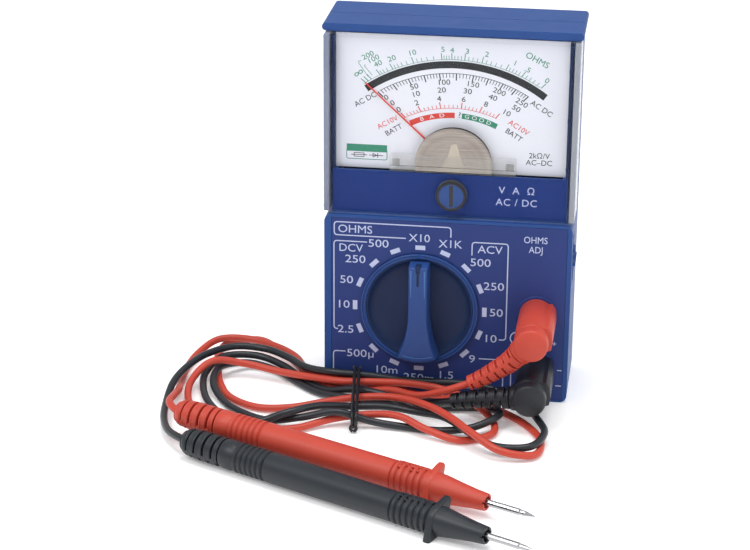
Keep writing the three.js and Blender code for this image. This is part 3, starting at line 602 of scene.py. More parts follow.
def lead_curve(colour):
    """The whole lead as one smooth open curve, from the elbow to inside the probe."""
    back, ahead = probe_axis(colour)
    pts = [Vector(p) for p in ROUTE[colour]] + [back + ahead * s for s in IN_HANDLE]
    data = bpy.data.curves.new(colour + "_test_lead", "CURVE")
    data.dimensions = "3D"
    line = data.splines.new("BEZIER")
    line.bezier_points.add(len(pts) - 1)
    for i, (spot, p) in enumerate(zip(line.bezier_points, pts)):
        before = pts[i - 1] if i else p * 2 - pts[1]
        after = pts[i + 1] if i < len(pts) - 1 else p * 2 - pts[-2]
        reach = (after - before) / 6
        spot.co = p * MM
        spot.handle_left, spot.handle_right = (p - reach) * MM, (p + reach) * MM
    data.resolution_u = 8
    data.bevel_depth = LEAD_D / 2 * MM
    data.bevel_resolution = 5
    data.use_fill_caps = True
    data.materials.append(paints[colour + "_lead_jacket"])
    piece = added(colour + "_test_lead", data)
    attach(piece, METER)
    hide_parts(colour + "_lead")
    return piece


def probe_axis(colour):
    """Where the handle's back end is, and the way that the probe points."""
    return PROBE_BACK[colour], (PROBE_TIP[colour] - PROBE_BACK[colour]).normalized()


test_lead = {colour: lead_curve(colour) for colour in COLOURS}


# ---------------------------------------------------------------- plugs, strain reliefs and probes
def rib_pattern():
    """One soft-edged rib of a strain relief, of unit radius, square to +Z."""
    bm = bmesh.new()
    add_turned(bm, [(-0.5, 0.5), (-0.5, 0.93), (-0.42, 0.98), (-0.25, 1), (0.25, 1), (0.42, 0.98),
                    (0.5, 0.93), (0.5, 0.5)], sides=32)
    return bm


def ring_part(outer, inner, half, steps, z0, z1, grow=1.0):
    """Part of a ring about +Z, from -half to half degrees; its far end is scaled by grow."""
    outline = arc_points(outer, -half, half, steps) + arc_points(inner, half, -half, steps)
    bm = bmesh.new()
    skin(bm, [[bm.verts.new((x * k, y * k, z)) for x, y in outline]
              for z, k in ((z0, 1), (z1, grow))])
    return bm


def facing(ahead, twist=0.0):
    quat = Vector(ahead).to_track_quat("Z", "Y")
    return (quat.to_matrix() @ Matrix.Rotation(twist, 3, "Z")).to_euler()


def slotted_sleeve(name, line, radius, pitch, colour, core_r, instead, tilt, core=None):
    """A moulded sleeve of ribs; the slots between them open on alternate sides."""
    slot = colour + "_vinyl"
    ribs, bridges = [], []
    walk, gone, count = 0.0, 0.0, 0
    total = sum((b - a).length for a, b in zip(line, line[1:]))
    for a, b in zip(line, line[1:]):
        step = (b - a).length
        ahead = (b - a).normalized()
        while walk <= gone + step:
            place, r = a.lerp(b, (walk - gone) / step), radius(walk / total)
            if count % 2 == 0:
                ribs.append((place, facing(ahead), (r, r, pitch * 0.52)))
            else:
                side = math.pi / 2 if count // 2 % 2 else -math.pi / 2
                bridges.append((place, facing(ahead, side + tilt), (r, r, pitch * 0.5)))
            walk += pitch / 2
            count += 1
        gone += step
    bm = bmesh.new()
    add_tube(bm, core or line, core_r, 24)
    return [keep(name, bm, slot, instead=instead),
            repeated(name + "_ribs", rib_pattern(), ribs, slot),
            repeated(name + "_bridges", ring_part(0.985, 0.5, 98, 16, -0.6, 0.6), bridges, slot)]


def cut_line(points, length):
    """The first stretch of a line, of that length."""
    made, gone = [points[0]], 0.0
    for a, b in zip(points, points[1:]):
        step = (b - a).length
        if gone + step > length:
            return made + [a.lerp(b, (length - gone) / step)]
        made.append(b)
        gone += step
    return made


def elbow(colour):
    """Where the lead's axis meets the plug's."""
    return Vector((JACK_X, FACE - PLUG_REACH + 5.9, JACK_Z[colour] - 1))


def plug(colour):
    """Shrouded elbow plug: round end disc, six-sided barrel, neck towards the lead."""
    z = JACK_Z[colour]
    front = Vector((JACK_X, FACE - PLUG_REACH, z))
    bm = bmesh.new()
    add_turned(bm, [(0, 0), (0, 4.7), (0.15, 5.0), (0.5, 5.3), (1, 5.38), (4.4, 5.38),
                    (4.55, 5.2), (4.75, 4.8), (5.1, 4.8), (5.3, 5.2), (5.5, 5.35),
                    (25.7, 5.4), (26.3, 5.3)], front, front + Vector((0, 1, 0)), 64)
    # The barrel is round to the left and has two flats and a corner rib to the right.
    outline = arc_points(5.62, 48, 312, 36) + [(6.1, -3.3), (6.5, -1.0), (6.2, 2.6), (5.0, 4.3)]
    barrel = add_prism(bm, [(JACK_X + px, z + pz) for px, pz in outline], FACE - 20.6, FACE - 0.3)
    edges = {e for v in barrel for e in v.link_edges if e.calc_face_angle(0) > math.radians(20)}
    bmesh.ops.bevel(bm, geom=list(edges), offset=0.15, segments=2, profile=0.5, affect="EDGES",
                    clamp_overlap=True)
    add_turned(bm, [(0, 4.3), (4, 4.3), (NECK - 0.5, 4.1), (NECK, 3.8), (NECK + 0.3, 3.0),
                    (NECK + 1, 2.8)], elbow(colour), ROUTE[colour][0], 32)
    return keep(colour + "_plug", bm, colour + "_vinyl", instead=[colour + "_plug_body"], sharp=40)


def guard_outline(radius, ear):
    """A round plate drawn out to a blunt ear at each side."""
    tip = 0.75
    return circle(radius, 40) + [p for s in (-1, 1) for p in circle(tip, 14, (0, s * (ear - tip)))]


def guard(colour):
    """Finger guard with two ears, and the chamfer that runs into the nose."""
    back, ahead = probe_axis(colour)
    level = ahead.cross(Vector((0, 0, 1))).normalized()
    ears = Vector((0, 0, 1)) * math.cos(EAR_TURN) - level * math.sin(EAR_TURN)
    ears = (ears - ahead * ears.dot(ahead)).normalized()
    side = ears.cross(ahead)
    bm = bmesh.new()
    for s, r, ear in ((0, 4.5, 7.4), (0.3, 4.76, 7.9), (1.6, 4.76, 8.05), (2.3, 4.6, 7.5)):
        foot = back + ahead * (GUARD_AT[colour] + s)
        for x, y in guard_outline(r, ear):
            p = foot + side * x + ears * y
            bm.verts.new((p.x, p.y, max(p.z, TABLE_GAP)))
    hull = bmesh.ops.convex_hull(bm, input=list(bm.verts))
    loose = {v for v in hull["geom_interior"] + hull["geom_unused"]
             if isinstance(v, bmesh.types.BMVert)}
    bmesh.ops.delete(bm, geom=list(loose), context="VERTS")
    bmesh.ops.dissolve_limit(bm, angle_limit=math.radians(4), verts=bm.verts, edges=bm.edges)
    round_edges(bm, 0.35, 3, 25)
    return keep(colour + "_guard", bm, colour + "_vinyl", sharp=30)


def rings(start, count, pitch, high, low, lip):
    """The profile of a row of ribs along a handle."""
    made = []
    for k in range(count):
        s = start + k * pitch
        made += [(s, low), (s + lip, (low + high) / 2 + 0.1), (s + lip * 1.8, high),
                 (s + pitch - lip * 2.8, high), (s + pitch - lip * 2, (low + high) / 2 + 0.1),
                 (s + pitch - lip, low)]
    return made


def probe(colour):
    """Slotted boot, ribbed handle, guard, nose with its notched mouth, and the grip's grains."""
    back, ahead = probe_axis(colour)
    slot = colour + "_vinyl"

    def at(*distances):
        return [back + ahead * s for s in distances]

    def turned(part, profile, sides, instead=()):
        return turned_piece(colour + part, profile, back, PROBE_TIP[colour], slot, sides=sides,
                            instead=instead)

    handle = [(15.6, 4.1), (15.8, 4.55), (16.2, 4.68), (19.2, 4.7)]
    handle += rings(20.8, 6, 1.9, 4.74, 4.2, 0.26)
    handle += [(32.4, 4.45), (32.8, 4.72), (35, 4.76), (52, 4.7), (76, 4.62), (78, 4.6)]
    handle += rings(78.4, 6, 2.1, 4.78, 4.15, 0.28)
    handle += [(91.2, 4.45), (92, 4.6), (94.5, 4.4)]
    boot = slotted_sleeve(colour + "_boot", at(2.4, 15.6), lambda t: 4.3 + 0.38 * min(1, t * 3),
                          1.65, colour, lambda t: 3.3, [colour + "_probe_boot"], 0.35,
                          at(0.2, 1.6, 3, 15.9))
    return boot + [
        turned("_boot_cap", [(0.3, 0), (0.3, 1.6), (0.35, 2.6), (0.7, 3.4), (1.3, 3.95),
                             (2.2, 4.2), (3, 4.1)], 40),
        turned("_handle", handle, 64, [colour + "_probe_handle"]),
        guard(colour),
        turned("_nose", [(93.5, 4.5), (94.6, 4.45), (96.4, 4.2), (100, 3.65), (105, 3.0),
                         (107.8, 2.78), (108.5, 2.7), (108.6, 2.5), (108.6, 1.8), (106.5, 1.6),
                         (106.5, 0)], 56, [colour + "_probe_nose"]),
        nose_crown(colour), grip_pad(colour)]


def nose_crown(colour):
    """The notched rim at the nose's mouth."""
    back, ahead = probe_axis(colour)
    bm = ring_part(2.72, 1.92, 37, 7, 0, 1, 0.97)
    round_edges(bm, 0.18, 2, 40)
    spots = [(back + ahead * 108.3, facing(ahead, math.radians(90 * k + 30)), (1, 1, 1))
             for k in range(4)]
    return repeated(colour + "_nose_crown", bm, spots, colour + "_vinyl")


def grip_pad(colour):
    """Small raised grains on the upper face of the grip."""
    back, ahead = probe_axis(colour)
    up = (Vector((0, 0, 1)) - ahead * ahead.z).normalized()
    side = ahead.cross(up)
    bm = bmesh.new()
    add_turned(bm, [(-0.3, 0.42), (0, 0.42), (0.12, 0.3), (0.18, 0)], sides=7)
    random.seed(11 if colour == "red" else 12)
    spots = []
    for _ in range(150):
        s, a = random.uniform(79.5, 90.6), random.gauss(0.25, 0.3)
        out = up * math.cos(a) - side * math.sin(a)
        size = random.uniform(0.5, 1.05)
        spots.append((back + ahead * s + out * 4.72, facing(out, random.uniform(0, 6)),
                      (size, size * 1.3, 1)))
    return repeated(colour + "_grip_grains", bm, spots, colour + "_vinyl")


for colour in COLOURS:
    joint = elbow(colour)
    neck = joint + (Vector(ROUTE[colour][0]) - joint).normalized() * (NECK + 0.7)
    sleeve = slotted_sleeve(
        colour + "_strain_relief", cut_line([neck] + spline(ROUTE[colour][:5], 12), 18.5),
        lambda t: 3.7 - 1.25 * t, 1.5, colour, lambda t: 2.5 - 0.9 * t,
        [colour + "_plug_strain_relief"], 0.3)
    plug(colour)
    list(probe(colour))


# ---------------------------------------------------------------- tie round the hank
TIE_X = -27                 # middle of the tie, in mm


def lead_tie():
    """Two strands round the hank, a ring knot in front and two short ends on top."""
    loop = [(-16, 0.65), (-22, 0.58), (-28, 0.58), (-34, 0.58), (-40, 0.6), (-43, 1.2),
            (-44.4, 3.5), (-43, 5.9), (-36, 6.7), (-29, 7.4), (-22, 8.6), (-16, 9.3),
            (-13.6, 7.6), (-13.2, 4.5), (-13.8, 1.6)]
    bm = bmesh.new()
    for shift in (-0.62, 0.62):
        pts = [(TIE_X - 0.11 * (y + 30) + shift * (1.1 if z > 4 else 0.8), y, z) for y, z in loop]
        add_tube(bm, spline(pts, 6, closed=True), 0.54, 12, closed=True)
    knot = [(TIE_X + 1.5 + x, -44.9 + z * 0.3 / 0.95, 1.75 + z) for x, z in circle(0.95, 24)]
    add_tube(bm, knot, 0.5, 10, closed=True)
    for x, lean in ((TIE_X - 2.2, -0.5), (TIE_X - 0.9, 0.5)):
        add_tube(bm, [(x, -15.2, 9.0), (x + lean * 0.4, -15.4, 9.6),
                      (x + lean * 0.9, -15.9, 10.0)], 0.45, 10)
    keep("twist_tie", bm, "tie_black", instead=["lead_tie"])


lead_tie()


# ---------------------------------------------------------------- case, cover and fittings
SEAM = FACE + 16            # between the front and the rear case
CAP_TOP = 124


def cap_slope(edge):
    """The upper edges of the cap, which have a wide slope, but not those at the seam."""
    return (all(v.co.z > CAP_TOP - 0.1 for v in edge.verts)
            and not all(abs(v.co.y - SEAM) < 0.2 for v in edge.verts))


def case_halves():
    for name, node in (("case_front", "front_case"), ("case_rear", "rear_case")):
        bm = merged_copy(node)
        round_edges(bm, 2.0, 1, 30, cap_slope)
        round_edges(bm, 0.32, 2, 40)
        keep(name, bm, "case_blue", instead=[node])


def adjuster_trim():
    """The black bezel and ring round the zero adjuster's screw."""
    x, z = ZERO
    turned_piece("adjuster_bezel", [(0, 4.66), (0, 4.95), (-2.25, 4.97), (-2.5, 4.9), (-2.5, 4.72),
                                    (-2.2, 4.66)],
                 (x, GLASS, z), (x, GLASS + 1, z), "case_blue", "black_moulding", METER, 56)
    turned_piece("adjuster_ring", [(0.15, 3.95), (0.32, 4.05), (0.38, 4.3), (0.3, 4.56),
                                   (-0.1, 4.62), (-0.1, 3.95)],
                 (x, FACE, z), (x, FACE - 1, z), "case_blue", "black_moulding", "zero_screw", 56)


def name_band():
    """The blue name band behind the clear cover."""
    bm = bmesh.new()
    add_box(bm, (-37.4, GLASS + 0.22, 62.3), (37.4, GLASS + 0.29, 76.1))
    keep("name_band", bm, "case_blue", "band_blue")


def movement_window():
    """Smoky half-round window over the movement, its dark rim, and the clear box in front."""
    middle, r = (1.2, 79.4), 12.3
    slot = "clear_window"
    bm = bmesh.new()
    add_prism(bm, arc_points(r, -14, 194, 60, middle), GLASS + 0.2, GLASS + 0.32)
    keep("movement_shade", bm, slot, "movement_shade")
    bm = bmesh.new()
    add_tube(bm, [(x, GLASS + 0.22, z) for x, z in arc_points(r, 8, 136, 60, middle)],
             lambda t: 0.04 + 0.2 * math.sin(math.pi * t), 8)
    keep("movement_rim", bm, slot, "ink_black")
    bm = bmesh.new()
    add_prism(bm, [(-3.2, 77), (5.4, 77), (4.0, 80.4), (2.2, 86.2), (0.6, 86.2), (-1.6, 80.4)],
              GLASS + 0.1, GLASS + 0.16)
    keep("movement_pillar", bm, slot, "pillar_haze")
    bm = bmesh.new()
    add_box(bm, (-19.2, GLASS + 0.04, 76.3), (21.2, GLASS + 1.9, 82.2), 0.5, 3)
    for x in (-17.2, 19.2):
        add_box(bm, (x - 1.3, GLASS + 0.02, 78.2), (x + 1.3, GLASS + 0.2, 80.6), 0.08)
    keep("movement_box", bm, slot, "clear_box")
    # Painted shade: thin black lines where the clear box's lower edges show dark.
    bm = bmesh.new()
    add_box(bm, (-19.4, GLASS + 0.01, 76.55), (21.4, GLASS + 0.1, 76.85), 0.03)
    add_box(bm, (-19.0, GLASS + 0.01, 78.3), (21.0, GLASS + 0.04, 78.4))
    keep("movement_foot", bm, slot, "ink_black")


def side_gaps():
    """Painted shade in the gaps between the dial and the cover's walls: dark boxes, with the
    moulding's ribs.
    """
    bm = bmesh.new()
    for s in (-1, 1):
        low, high = sorted((s * 36.85, s * 38.0))
        add_box(bm, (low, GLASS + 0.4, 76.3), (high, GLASS + 3, 120.2), 0.15)
        for z in (79, 95, 111):
            add_box(bm, (low - 0.05, GLASS + 0.1, z), (high + 0.05, GLASS + 0.5, z + 1.2), 0.1)
    # The boxes take knob_navy, a dark blue that stands for the shade in the gaps.
    keep("side_gaps", bm, "case_blue", "knob_navy")


def cover_walls():
    """The thickness of the cover's two side walls, with light and shade painted in: a lit copy of
    the clear moulding on the right and a shaded copy on the left.
    """
    for side, s, paint in (("right", 1, "wall_painted_lit"), ("left", -1, "wall_painted_shade")):
        bm = bmesh.new()
        low, high = sorted((s * 38.45, s * 40.15))
        add_box(bm, (low, FACE + 0.45, 62.4), (high, FACE + 14.6, 120.9), 0.2)
        keep("cover_wall_" + side, bm, "clear_window", paint)


case_halves()
softened("clear_cover", "window_cover", 0.22, "clear_window")
softened("panel_plate", "legend_plate", 0.12, "label_blue", steps=1)
softened("adjuster_screw", "zero_adjust_screw", 0.18, "case_blue", "knob_bar", "zero_screw")
softened("ohms_wheel_rim", "ohms_thumbwheel", 0.16, "case_blue", body="ohms_wheel")
adjuster_trim()
name_band()
movement_window()
side_gaps()
cover_walls()


# ---------------------------------------------------------------- range knob
def dished_disc():
    x, z = KNOB
    # The dish takes knob_navy, the knob's plastic painted darker as shade for its deep recess.
    turned_piece("knob_dish", [(3.0, 0), (3.0, 16.9), (0.3, 17.2), (0.0, 17.4), (-0.35, 17.45),
                               (-0.6, 17.3), (-0.55, 16.9), (0.4, 16.1), (1.05, 14.6), (1.4, 11),
                               (1.5, 6), (1.5, 0)], (x, FACE, z), (x, FACE + 1, z),
                 "knob_navy", body="range_switch", sides=96, instead=["range_knob"])


def knob_bar():
    """The grip bar: straight from the top, flaring at the bottom, with a curved end."""
    x, z = KNOB
    right = [(3.1, 16.4), (3.1, 6), (3.12, 0), (3.25, -3.5), (3.7, -6.5), (4.5, -10.5),
             (5.6, -13.6), (6.55, -15.6)]
    left = [(-px, pz) for px, pz in reversed(right)]
    outline = right[:-1] + arc_points(16.9, -67.4, -112.6, 14) + left[1:]
    bm = bmesh.new()
    skin(bm, [[bm.verts.new((x + px * grow, FACE + depth, z + pz * (1 + (grow - 1) * 0.3)))
               for px, pz in outline]
              for depth, grow in ((1.4, 1.06), (-1.5, 1.03), (-5.3, 0.985), (-6.0, 0.93))])
    round_edges(bm, 0.35, 3, 24)
    keep("knob_bar", bm, "knob_navy", "knob_bar", "range_switch", sharp=28)


def knob_details():
    """The slot at the bar's top, and painted highlights: light lines along its edges and across
    its lower end.
    """
    x, z = KNOB
    bm = bmesh.new()
    add_box(bm, (x - 0.45, FACE - 6.03, z + 9.9), (x + 0.45, FACE - 5.7, z + 15.5), 0.1)
    add_box(bm, (x - 0.9, FACE - 6.05, z + 14.2), (x + 0.9, FACE - 3.2, z + 16.9), 0.3)
    # The slot takes knob_navy, the knob's blue darkened as painted shade.
    keep("knob_slot", bm, "knob_navy", body="range_switch")
    # Painted highlights: light tubes along the bar's edges and across its lower end.
    bm = bmesh.new()
    for s in (-2.2, 2.2):
        add_tube(bm, [(x + s, FACE - 5.93, z + 15.4), (x + s, FACE - 5.93, z + 6)],
                 lambda t: 0.38 - 0.25 * t, 10)
    add_tube(bm, [(px, FACE - 5.98, pz) for px, pz in arc_points(15.2, -109, -71, 20, KNOB)],
             0.12, 8)
    keep("knob_lines", bm, "knob_navy", "bar_painted_highlight", "range_switch")


def collar_rings():
    """The double lip round the knob's hole."""
    bm = bmesh.new()
    for r, lift, thick in ((18.85, -0.82, 0.3), (17.95, -0.8, 0.26)):
        add_tube(bm, [(x, FACE + lift, z) for x, z in circle(r, 128, KNOB)], thick, 10,
                 closed=True)
    keep("collar_lips", bm, "case_blue", "knob_bar")


def jack_rims():
    """The moulded rims that close the panel round the two plugs."""
    for colour, z in JACK_Z.items():
        turned_piece(colour + "_jack_rim",
                     [(-0.05, 4.9), (-0.05, 6.5), (0.18, 6.45), (0.3, 6.3), (0.3, 4.9)],
                     (JACK_X, FACE, z), (JACK_X, FACE - 1, z), "label_blue", sides=64)


dished_disc()
knob_bar()
knob_details()
collar_rings()
jack_rims()


# ---------------------------------------------------------------- printing
INK_THICK = 0.035           # in mm
CAPITAL = 0.69              # a capital's height at a text size of 1
TEXT_DEPTH = 0.02           # of the letters before they are laid on the face


class Print:
    """Everything printed in one ink on one flat face."""

    def __init__(self, face_y):
        self.bm = bmesh.new()
        self.y = face_y

    def _place(self, mesh, x, z, angle, sx, sz):
        other = bmesh.new()
        other.from_mesh(mesh)
        lay = (Matrix.Translation((x, self.y, z)) @ Matrix.Rotation(math.radians(angle), 4, "Y")
               @ Matrix.Rotation(math.radians(90), 4, "X") @ Matrix.Diagonal((sx, sz, 1, 1)))
        other.transform(lay)
        flat = bpy.data.meshes.new("flat")
        other.to_mesh(flat)
        other.free()
        self.bm.from_mesh(flat)
        bpy.data.meshes.remove(flat)

    def text(self, words, x, z, height, angle=0.0, wide=1.0, spread=1.0):
        """Words centred at x, z; angle turns them clockwise; height is a capital's, in mm."""
        data = bpy.data.curves.new("words", "FONT")
        data.body, data.align_x, data.align_y = words, "CENTER", "CENTER"
        data.size, data.extrude, data.space_character = 1.0, TEXT_DEPTH, spread
        data.resolution_u = 3
        holder = added("words", data)
        graph = bpy.context.evaluated_depsgraph_get()
        mesh = bpy.data.meshes.new_from_object(holder.evaluated_get(graph))
        bpy.data.objects.remove(holder)
        bpy.data.curves.remove(data)
        grow = height / CAPITAL
        for v in mesh.vertices:
            v.co.z = max(0.0, v.co.z) / TEXT_DEPTH * INK_THICK
        self._place(mesh, x, z, angle, grow * wide, grow)
        bpy.data.meshes.remove(mesh)

    def line(self, points, width=0.35):
        """A line of constant width through points in X and Z."""
        pts = [Vector((x, 0, z)) for x, z in points]
        sides = [[], []]
        for i, p in enumerate(pts):
            before = (p - pts[i - 1]).normalized() if i else (pts[1] - p).normalized()
            after = (pts[i + 1] - p).normalized() if i < len(pts) - 1 else before
            along = (before + after).normalized()
            across = Vector((-along.z, 0, along.x)) * (width / 2 / max(0.5, along.dot(after)))
            sides[0].append(p + across)
            sides[1].append(p - across)
        rows = [[self.bm.verts.new((p.x, self.y - t, p.z)) for p in side]
                for side in sides for t in (0, INK_THICK)]
        a0, a1, b0, b1 = rows
        faces = []
        for i in range(len(pts) - 1):
            for one, two in ((a0, a1), (a1, b1), (b1, b0), (b0, a0)):
                faces.append(self.bm.faces.new((one[i], one[i + 1], two[i + 1], two[i])))
        faces.append(self.bm.faces.new((a0[0], a1[0], b1[0], b0[0])))
        faces.append(self.bm.faces.new((a0[-1], b0[-1], b1[-1], a1[-1])))
        bmesh.ops.recalc_face_normals(self.bm, faces=faces)

    def arc(self, radius, start, end, width, centre=ARC, steps=60):
        """An arc, its angles in degrees clockwise from upright."""
        self.line(arc_points(radius, 90 - start, 90 - end, steps, centre), width)

    def polar_text(self, words, radius, angle, height, wide):
        """Words on an arc, turned with it."""
        a = math.radians(angle)
        self.text(words, ARC[0] + radius * math.sin(a), ARC[1] + radius * math.cos(a), height,
                  angle, wide)

    def keep(self, name, slot, paint):
        return keep(name, self.bm, slot, paint, sharp=50)


def rounded(points, radius, steps=5):
    """A polyline with its inner corners rounded."""
    pts = [Vector(p) for p in points]
    made = [tuple(pts[0])]
    for a, b, c in zip(pts, pts[1:], pts[2:]):
        u, v = (a - b).normalized(), (c - b).normalized()
        for k in range(steps + 1):
            t = k / steps
            made.append(tuple(b + u * radius * (1 - t) ** 2 + v * radius * t ** 2))
    return made + [tuple(pts[-1])]


def on_arc(radius, angle):
    """Where the ray from the pointer's axis at that angle meets the arc of that radius."""
    a = math.radians(angle)
    rise = PIVOT[1] - ARC[1]
    reach = math.sqrt(radius ** 2 - (rise * math.sin(a)) ** 2) - rise * math.cos(a)
    return PIVOT[0] + reach * math.sin(a), PIVOT[1] + reach * math.cos(a)


def tick_pattern():
    """A bar of unit width and height that stands on the origin."""
    bm = bmesh.new()
    add_box(bm, (-0.5, -0.04, 0), (0.5, 0, 1))
    return bm


def ticks(name, rows, paint):
    """rows = [(radius of the foot, angle, length, width)], laid along the pointer's rays."""
    spots = []
    for radius, angle, length, width in rows:
        px, pz = on_arc(radius, angle)
        spots.append(((px, DIAL_Y, pz), Euler((0, math.radians(angle), 0)), (width, 1, length)))
    return repeated(name, tick_pattern(), spots, "dial_paint", paint)


def along_fifths(angles, share):
    """An angle on a scale whose fifths lie at the given angles."""
    place = min(4.9999, max(0.0, share * 5))
    k = int(place)
    return angles[k] + (angles[k + 1] - angles[k]) * (place - k)


DIAL_Y = FACE + 5.0
VOLT_FIFTHS = (-46.6, -28.0, -9.3, 11.2, 29.0, 44.4)
LOW_FIFTHS = (-46.0, -31.5, -13.0, 6.8, 24.2, 39.2)
OHMS_MIDDLE = 3.9                       # ohms at half deflection


def ohms_angle(ohms):
    return -47.8 + 93.3 * OHMS_MIDDLE / (OHMS_MIDDLE + ohms)


def print_dial():
    black, red, green, mirror, white = (Print(DIAL_Y) for _ in range(5))
    # The mirror strip is drawn as flat dark ink, a painted reflection.
    mirror.arc(48.2, -35.6, 36.4, 2.3)
    black.arc(45.35, -31.6, 31.0, 0.16)
    volts, lows = [], []
    for k in range(51):
        length, width = (1.45, 0.2) if k % 5 else (2.3, 0.34)
        volts.append((45.4 - length, along_fifths(VOLT_FIFTHS, k / 50), length, width))
    ticks("volt_ticks", volts, "ink_black")
    for k in range(0, 51, 2):
        length, width = (1.2, 0.18) if k % 10 else (2.1, 0.3)
        lows.append((33.9, along_fifths(LOW_FIFTHS, k / 50), length, width))
    ticks("low_volt_ticks", lows, "ink_red")
    red.arc(33.95, -27.9, 23.4, 0.14)
    steps = [(0, 1, 0.1), (1, 2, 0.2), (2, 5, 0.25), (5, 10, 1), (10, 20, 2), (20, 40, 5)]
    ohms = [low + k * step for low, high, step in steps
            for k in range(round((high - low) / step))] + [40, 100, 200]
    long_ones = (0, 0.5, 1, 2, 3, 4, 5, 10, 20, 40, 100, 200)
    rows = [(49.85, ohms_angle(v), *((2.1, 0.24) if v in long_ones else (1.3, 0.16)))
            for v in ohms] + [(49.85, -47.6, 2.0, 0.24)]
    ticks("ohms_ticks", rows, "ink_green")
    green.arc(49.85, -35.4, 32.5, 0.12)
    for label, radius, angle in (("∞", 53.6, -34.7), ("200", 57.1, -28.9), ("100", 55.3, -27.9),
                                 ("40", 53.3, -27.2), ("20", 53.2, -22.1), ("10", 53.2, -14.8),
                                 ("5", 53.1, -4.2), ("4", 52.8, -1.1), ("3", 52.8, 4.1),
                                 ("2", 52.9, 10.8), ("1", 53, 20.8), (".5", 52.8, 25.6),
                                 ("0", 52.9, 33.1)):
        green.polar_text(label, radius, angle, 2.2 if label == "∞" else 1.65, wide=1.15)
    green.text("OHMS", 26.6, 114.2, 2.0, 27)
    green.line([(-26.6, 106.5), (-29.6, 110.8), (-29.6, 111.4), (-28.9, 111.6)], 0.16)
    green.line([(-25.3, 107.0), (-27.8, 109.9), (-27.5, 110.5)], 0.16)
    for row, radius, angles in ((("0", "50", "100", "150", "200", "250"), 42.4,
                                 (-30.7, -17.6, -4.7, 7.7, 19.4, 30.0)),
                                (("0", "10", "20", "30", "40", "50"), 39.9,
                                 (-29.5, -17.9, -5.9, 5.9, 17.7, 29.3)),
                                (("0", "2", "4", "6", "8", "10"), 37.1,
                                 (-28.4, -18.8, -7.5, 4.5, 15.6, 26.4))):
        for label, angle in zip(row, angles):
            black.polar_text(label, radius, angle, 1.7, wide=1.15)
    for own, words, x, z, height, turn in (
            (black, "AC DC", -27.4, 98.9, 1.75, -31), (black, "AC DC", 28.4, 98.5, 1.75, 32),
            (red, "AC10V", -20.3, 91.6, 1.7, -30), (red, "AC10V", 21.4, 91.9, 1.7, 31),
            (black, "BATT", -18.3, 89.2, 1.7, -31), (black, "BATT", 19.9, 89.4, 1.7, 32),
            (black, "?", 2.6, 95.1, 1.9, 3), (black, "2kΩ/V", 28.2, 82.8, 1.75, 0),
            (black, "AC–DC", 28.2, 80.5, 1.75, 0)):
        own.text(words, x, z, height, turn)
    red.arc(31.6, -26.2, 0.3, 1.8)
    green.arc(31.6, 4.4, 25.4, 1.8)
    white.y -= 0.04
    for k, letter in enumerate("BAD"):
        white.polar_text(letter, 31.6, -18.9 + 5.9 * k, 1.2, wide=1.35)
    for k, letter in enumerate("GOOD"):
        white.polar_text(letter, 31.6, 7.4 + 4.3 * k, 1.2, wide=1.25)
    # A plain protection plate: a green field over circuit signs for a fuse and a diode.
    green.line([(-33.4, 82.75), (-20.4, 82.75)], 2.4)
    green.line(rounded([(-33.4, 82), (-33.4, 79), (-20.4, 79), (-20.4, 82)], 0.6), 0.22)
    black.line([(-32, 80.4), (-26.8, 80.4)], 0.2)
    black.line([(-31, 79.8), (-31, 81), (-27.8, 81), (-27.8, 79.8), (-31, 79.8)], 0.2)
    black.line([(-26.2, 80.4), (-21.6, 80.4)], 0.2)
    black.line([(-24.9, 79.8), (-24.9, 81), (-23.7, 80.4), (-24.9, 79.8)], 0.2)
    black.line([(-23.4, 79.7), (-23.4, 81.1)], 0.24)
    for own, name, paint in ((black, "dial_print_black", "ink_black"),
                             (mirror, "dial_arc", "mirror_painted_reflection"),
                             (red, "dial_print_red", "ink_red"),
                             (green, "dial_print_green", "ink_green"),
                             (white, "dial_print_white", "ink_white")):
        own.keep(name, "dial_paint", paint)


def mark_spots():
    spots = []
    for k in range(16):
        a = math.radians(22.5 * k)
        spots.append(((KNOB[0] + 21.14 * math.sin(a), FACE, KNOB[1] + 21.14 * math.cos(a)),
                      Euler((0, a, 0)), (3.2, 1, 1.5)))
    return spots


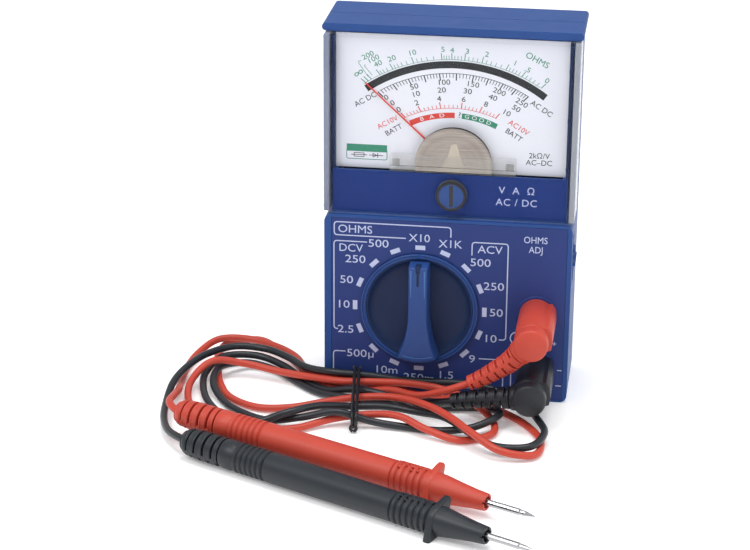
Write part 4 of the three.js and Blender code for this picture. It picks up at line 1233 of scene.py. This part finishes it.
def print_panel():
    bm = bmesh.new()
    add_box(bm, (-0.5, -0.04, -0.5), (0.5, 0, 0.5))
    repeated("range_marks", bm, mark_spots(), "label_blue", "ink_lilac")
    p = Print(FACE)
    for words, x, z in (("X10", -8.6, 54.7), ("X1K", 1.4, 53.2), ("500", 11.2, 47.4),
                        ("250", 15.7, 39.4), ("50", 16.7, 30.3), ("10", 14.9, 21.1),
                        ("9", 9.2, 13.5), ("1.5", 0.6, 7.2), ("250m", -8.2, 5.7),
                        ("10m", -19.1, 7.8), ("500µ", -27.6, 13.1), ("2.5", -32.5, 21.5),
                        ("10", -33.4, 30.3), ("50", -32.3, 39.0), ("250", -29.4, 46.3),
                        ("500", -21.9, 52.1)):
        p.text(words, x - 0.4, z, 2.6, wide=1.08 if words[0] == "X" else 1.22)
    for words, x, z, height, wide in (
            ("OHMS", -29.9, 56.6, 2.6, 1.08), ("DCV", -31.3, 50.1, 2.6, 1.03),
            ("ACV", 13.8, 52.0, 2.6, 1.08), ("OHMS", 28.3, 56.1, 2.2, 0.87),
            ("ADJ", 28.5, 52.8, 2.2, 0.87), ("V", 16.4, 8.9, 2.4, 1), ("+", 35.4, 20.6, 2.0, 1)):
        p.text(words, x, z, height, wide=wide)
    for path in ([(-13.4, 54.5), (-36.7, 54.5), (-36.7, 59.0), (1.1, 59.0), (1.1, 55.6)],
                 [(-26.0, 52.5), (-36.8, 52.5), (-36.8, 21.6), (-35.5, 21.6)],
                 [(8.0, 49.9), (8.0, 54.4), (19.6, 54.4), (19.6, 21.0), (17.4, 21.0)],
                 [(-33.0, 13.7), (-37.0, 13.7), (-37.0, 2.4), (-12, 2.4)],
                 [(11.0, 13.9), (19.0, 13.9), (19.0, 3.2), (4.5, 3.2), (4.5, 4.6)]):
        p.line(rounded(path, 1.1), 0.36)
    p.line(rounded([(26, 12.2), (21.6, 12.2), (21.6, 3.0)], 0.01), 0.36)
    for x, z in ((36.2, 5.9), (36.6, 11.4)):
        p.line([(x, z), (38.1, z)], 0.3)
    p.arc(2.2, 0, 360, 0.36, (23.3, 21.9), 36)
    p.keep("panel_print", "label_blue", "ink_lilac")
    band = Print(GLASS + 0.22)
    for words, z in (("V  A  Ω", 71.6), ("AC / DC", 67.6)):
        band.text(words, 21.6, z, 2.3, spread=1.1)
    band.keep("band_print", "case_blue", "ink_lilac")


print_dial()
print_panel()
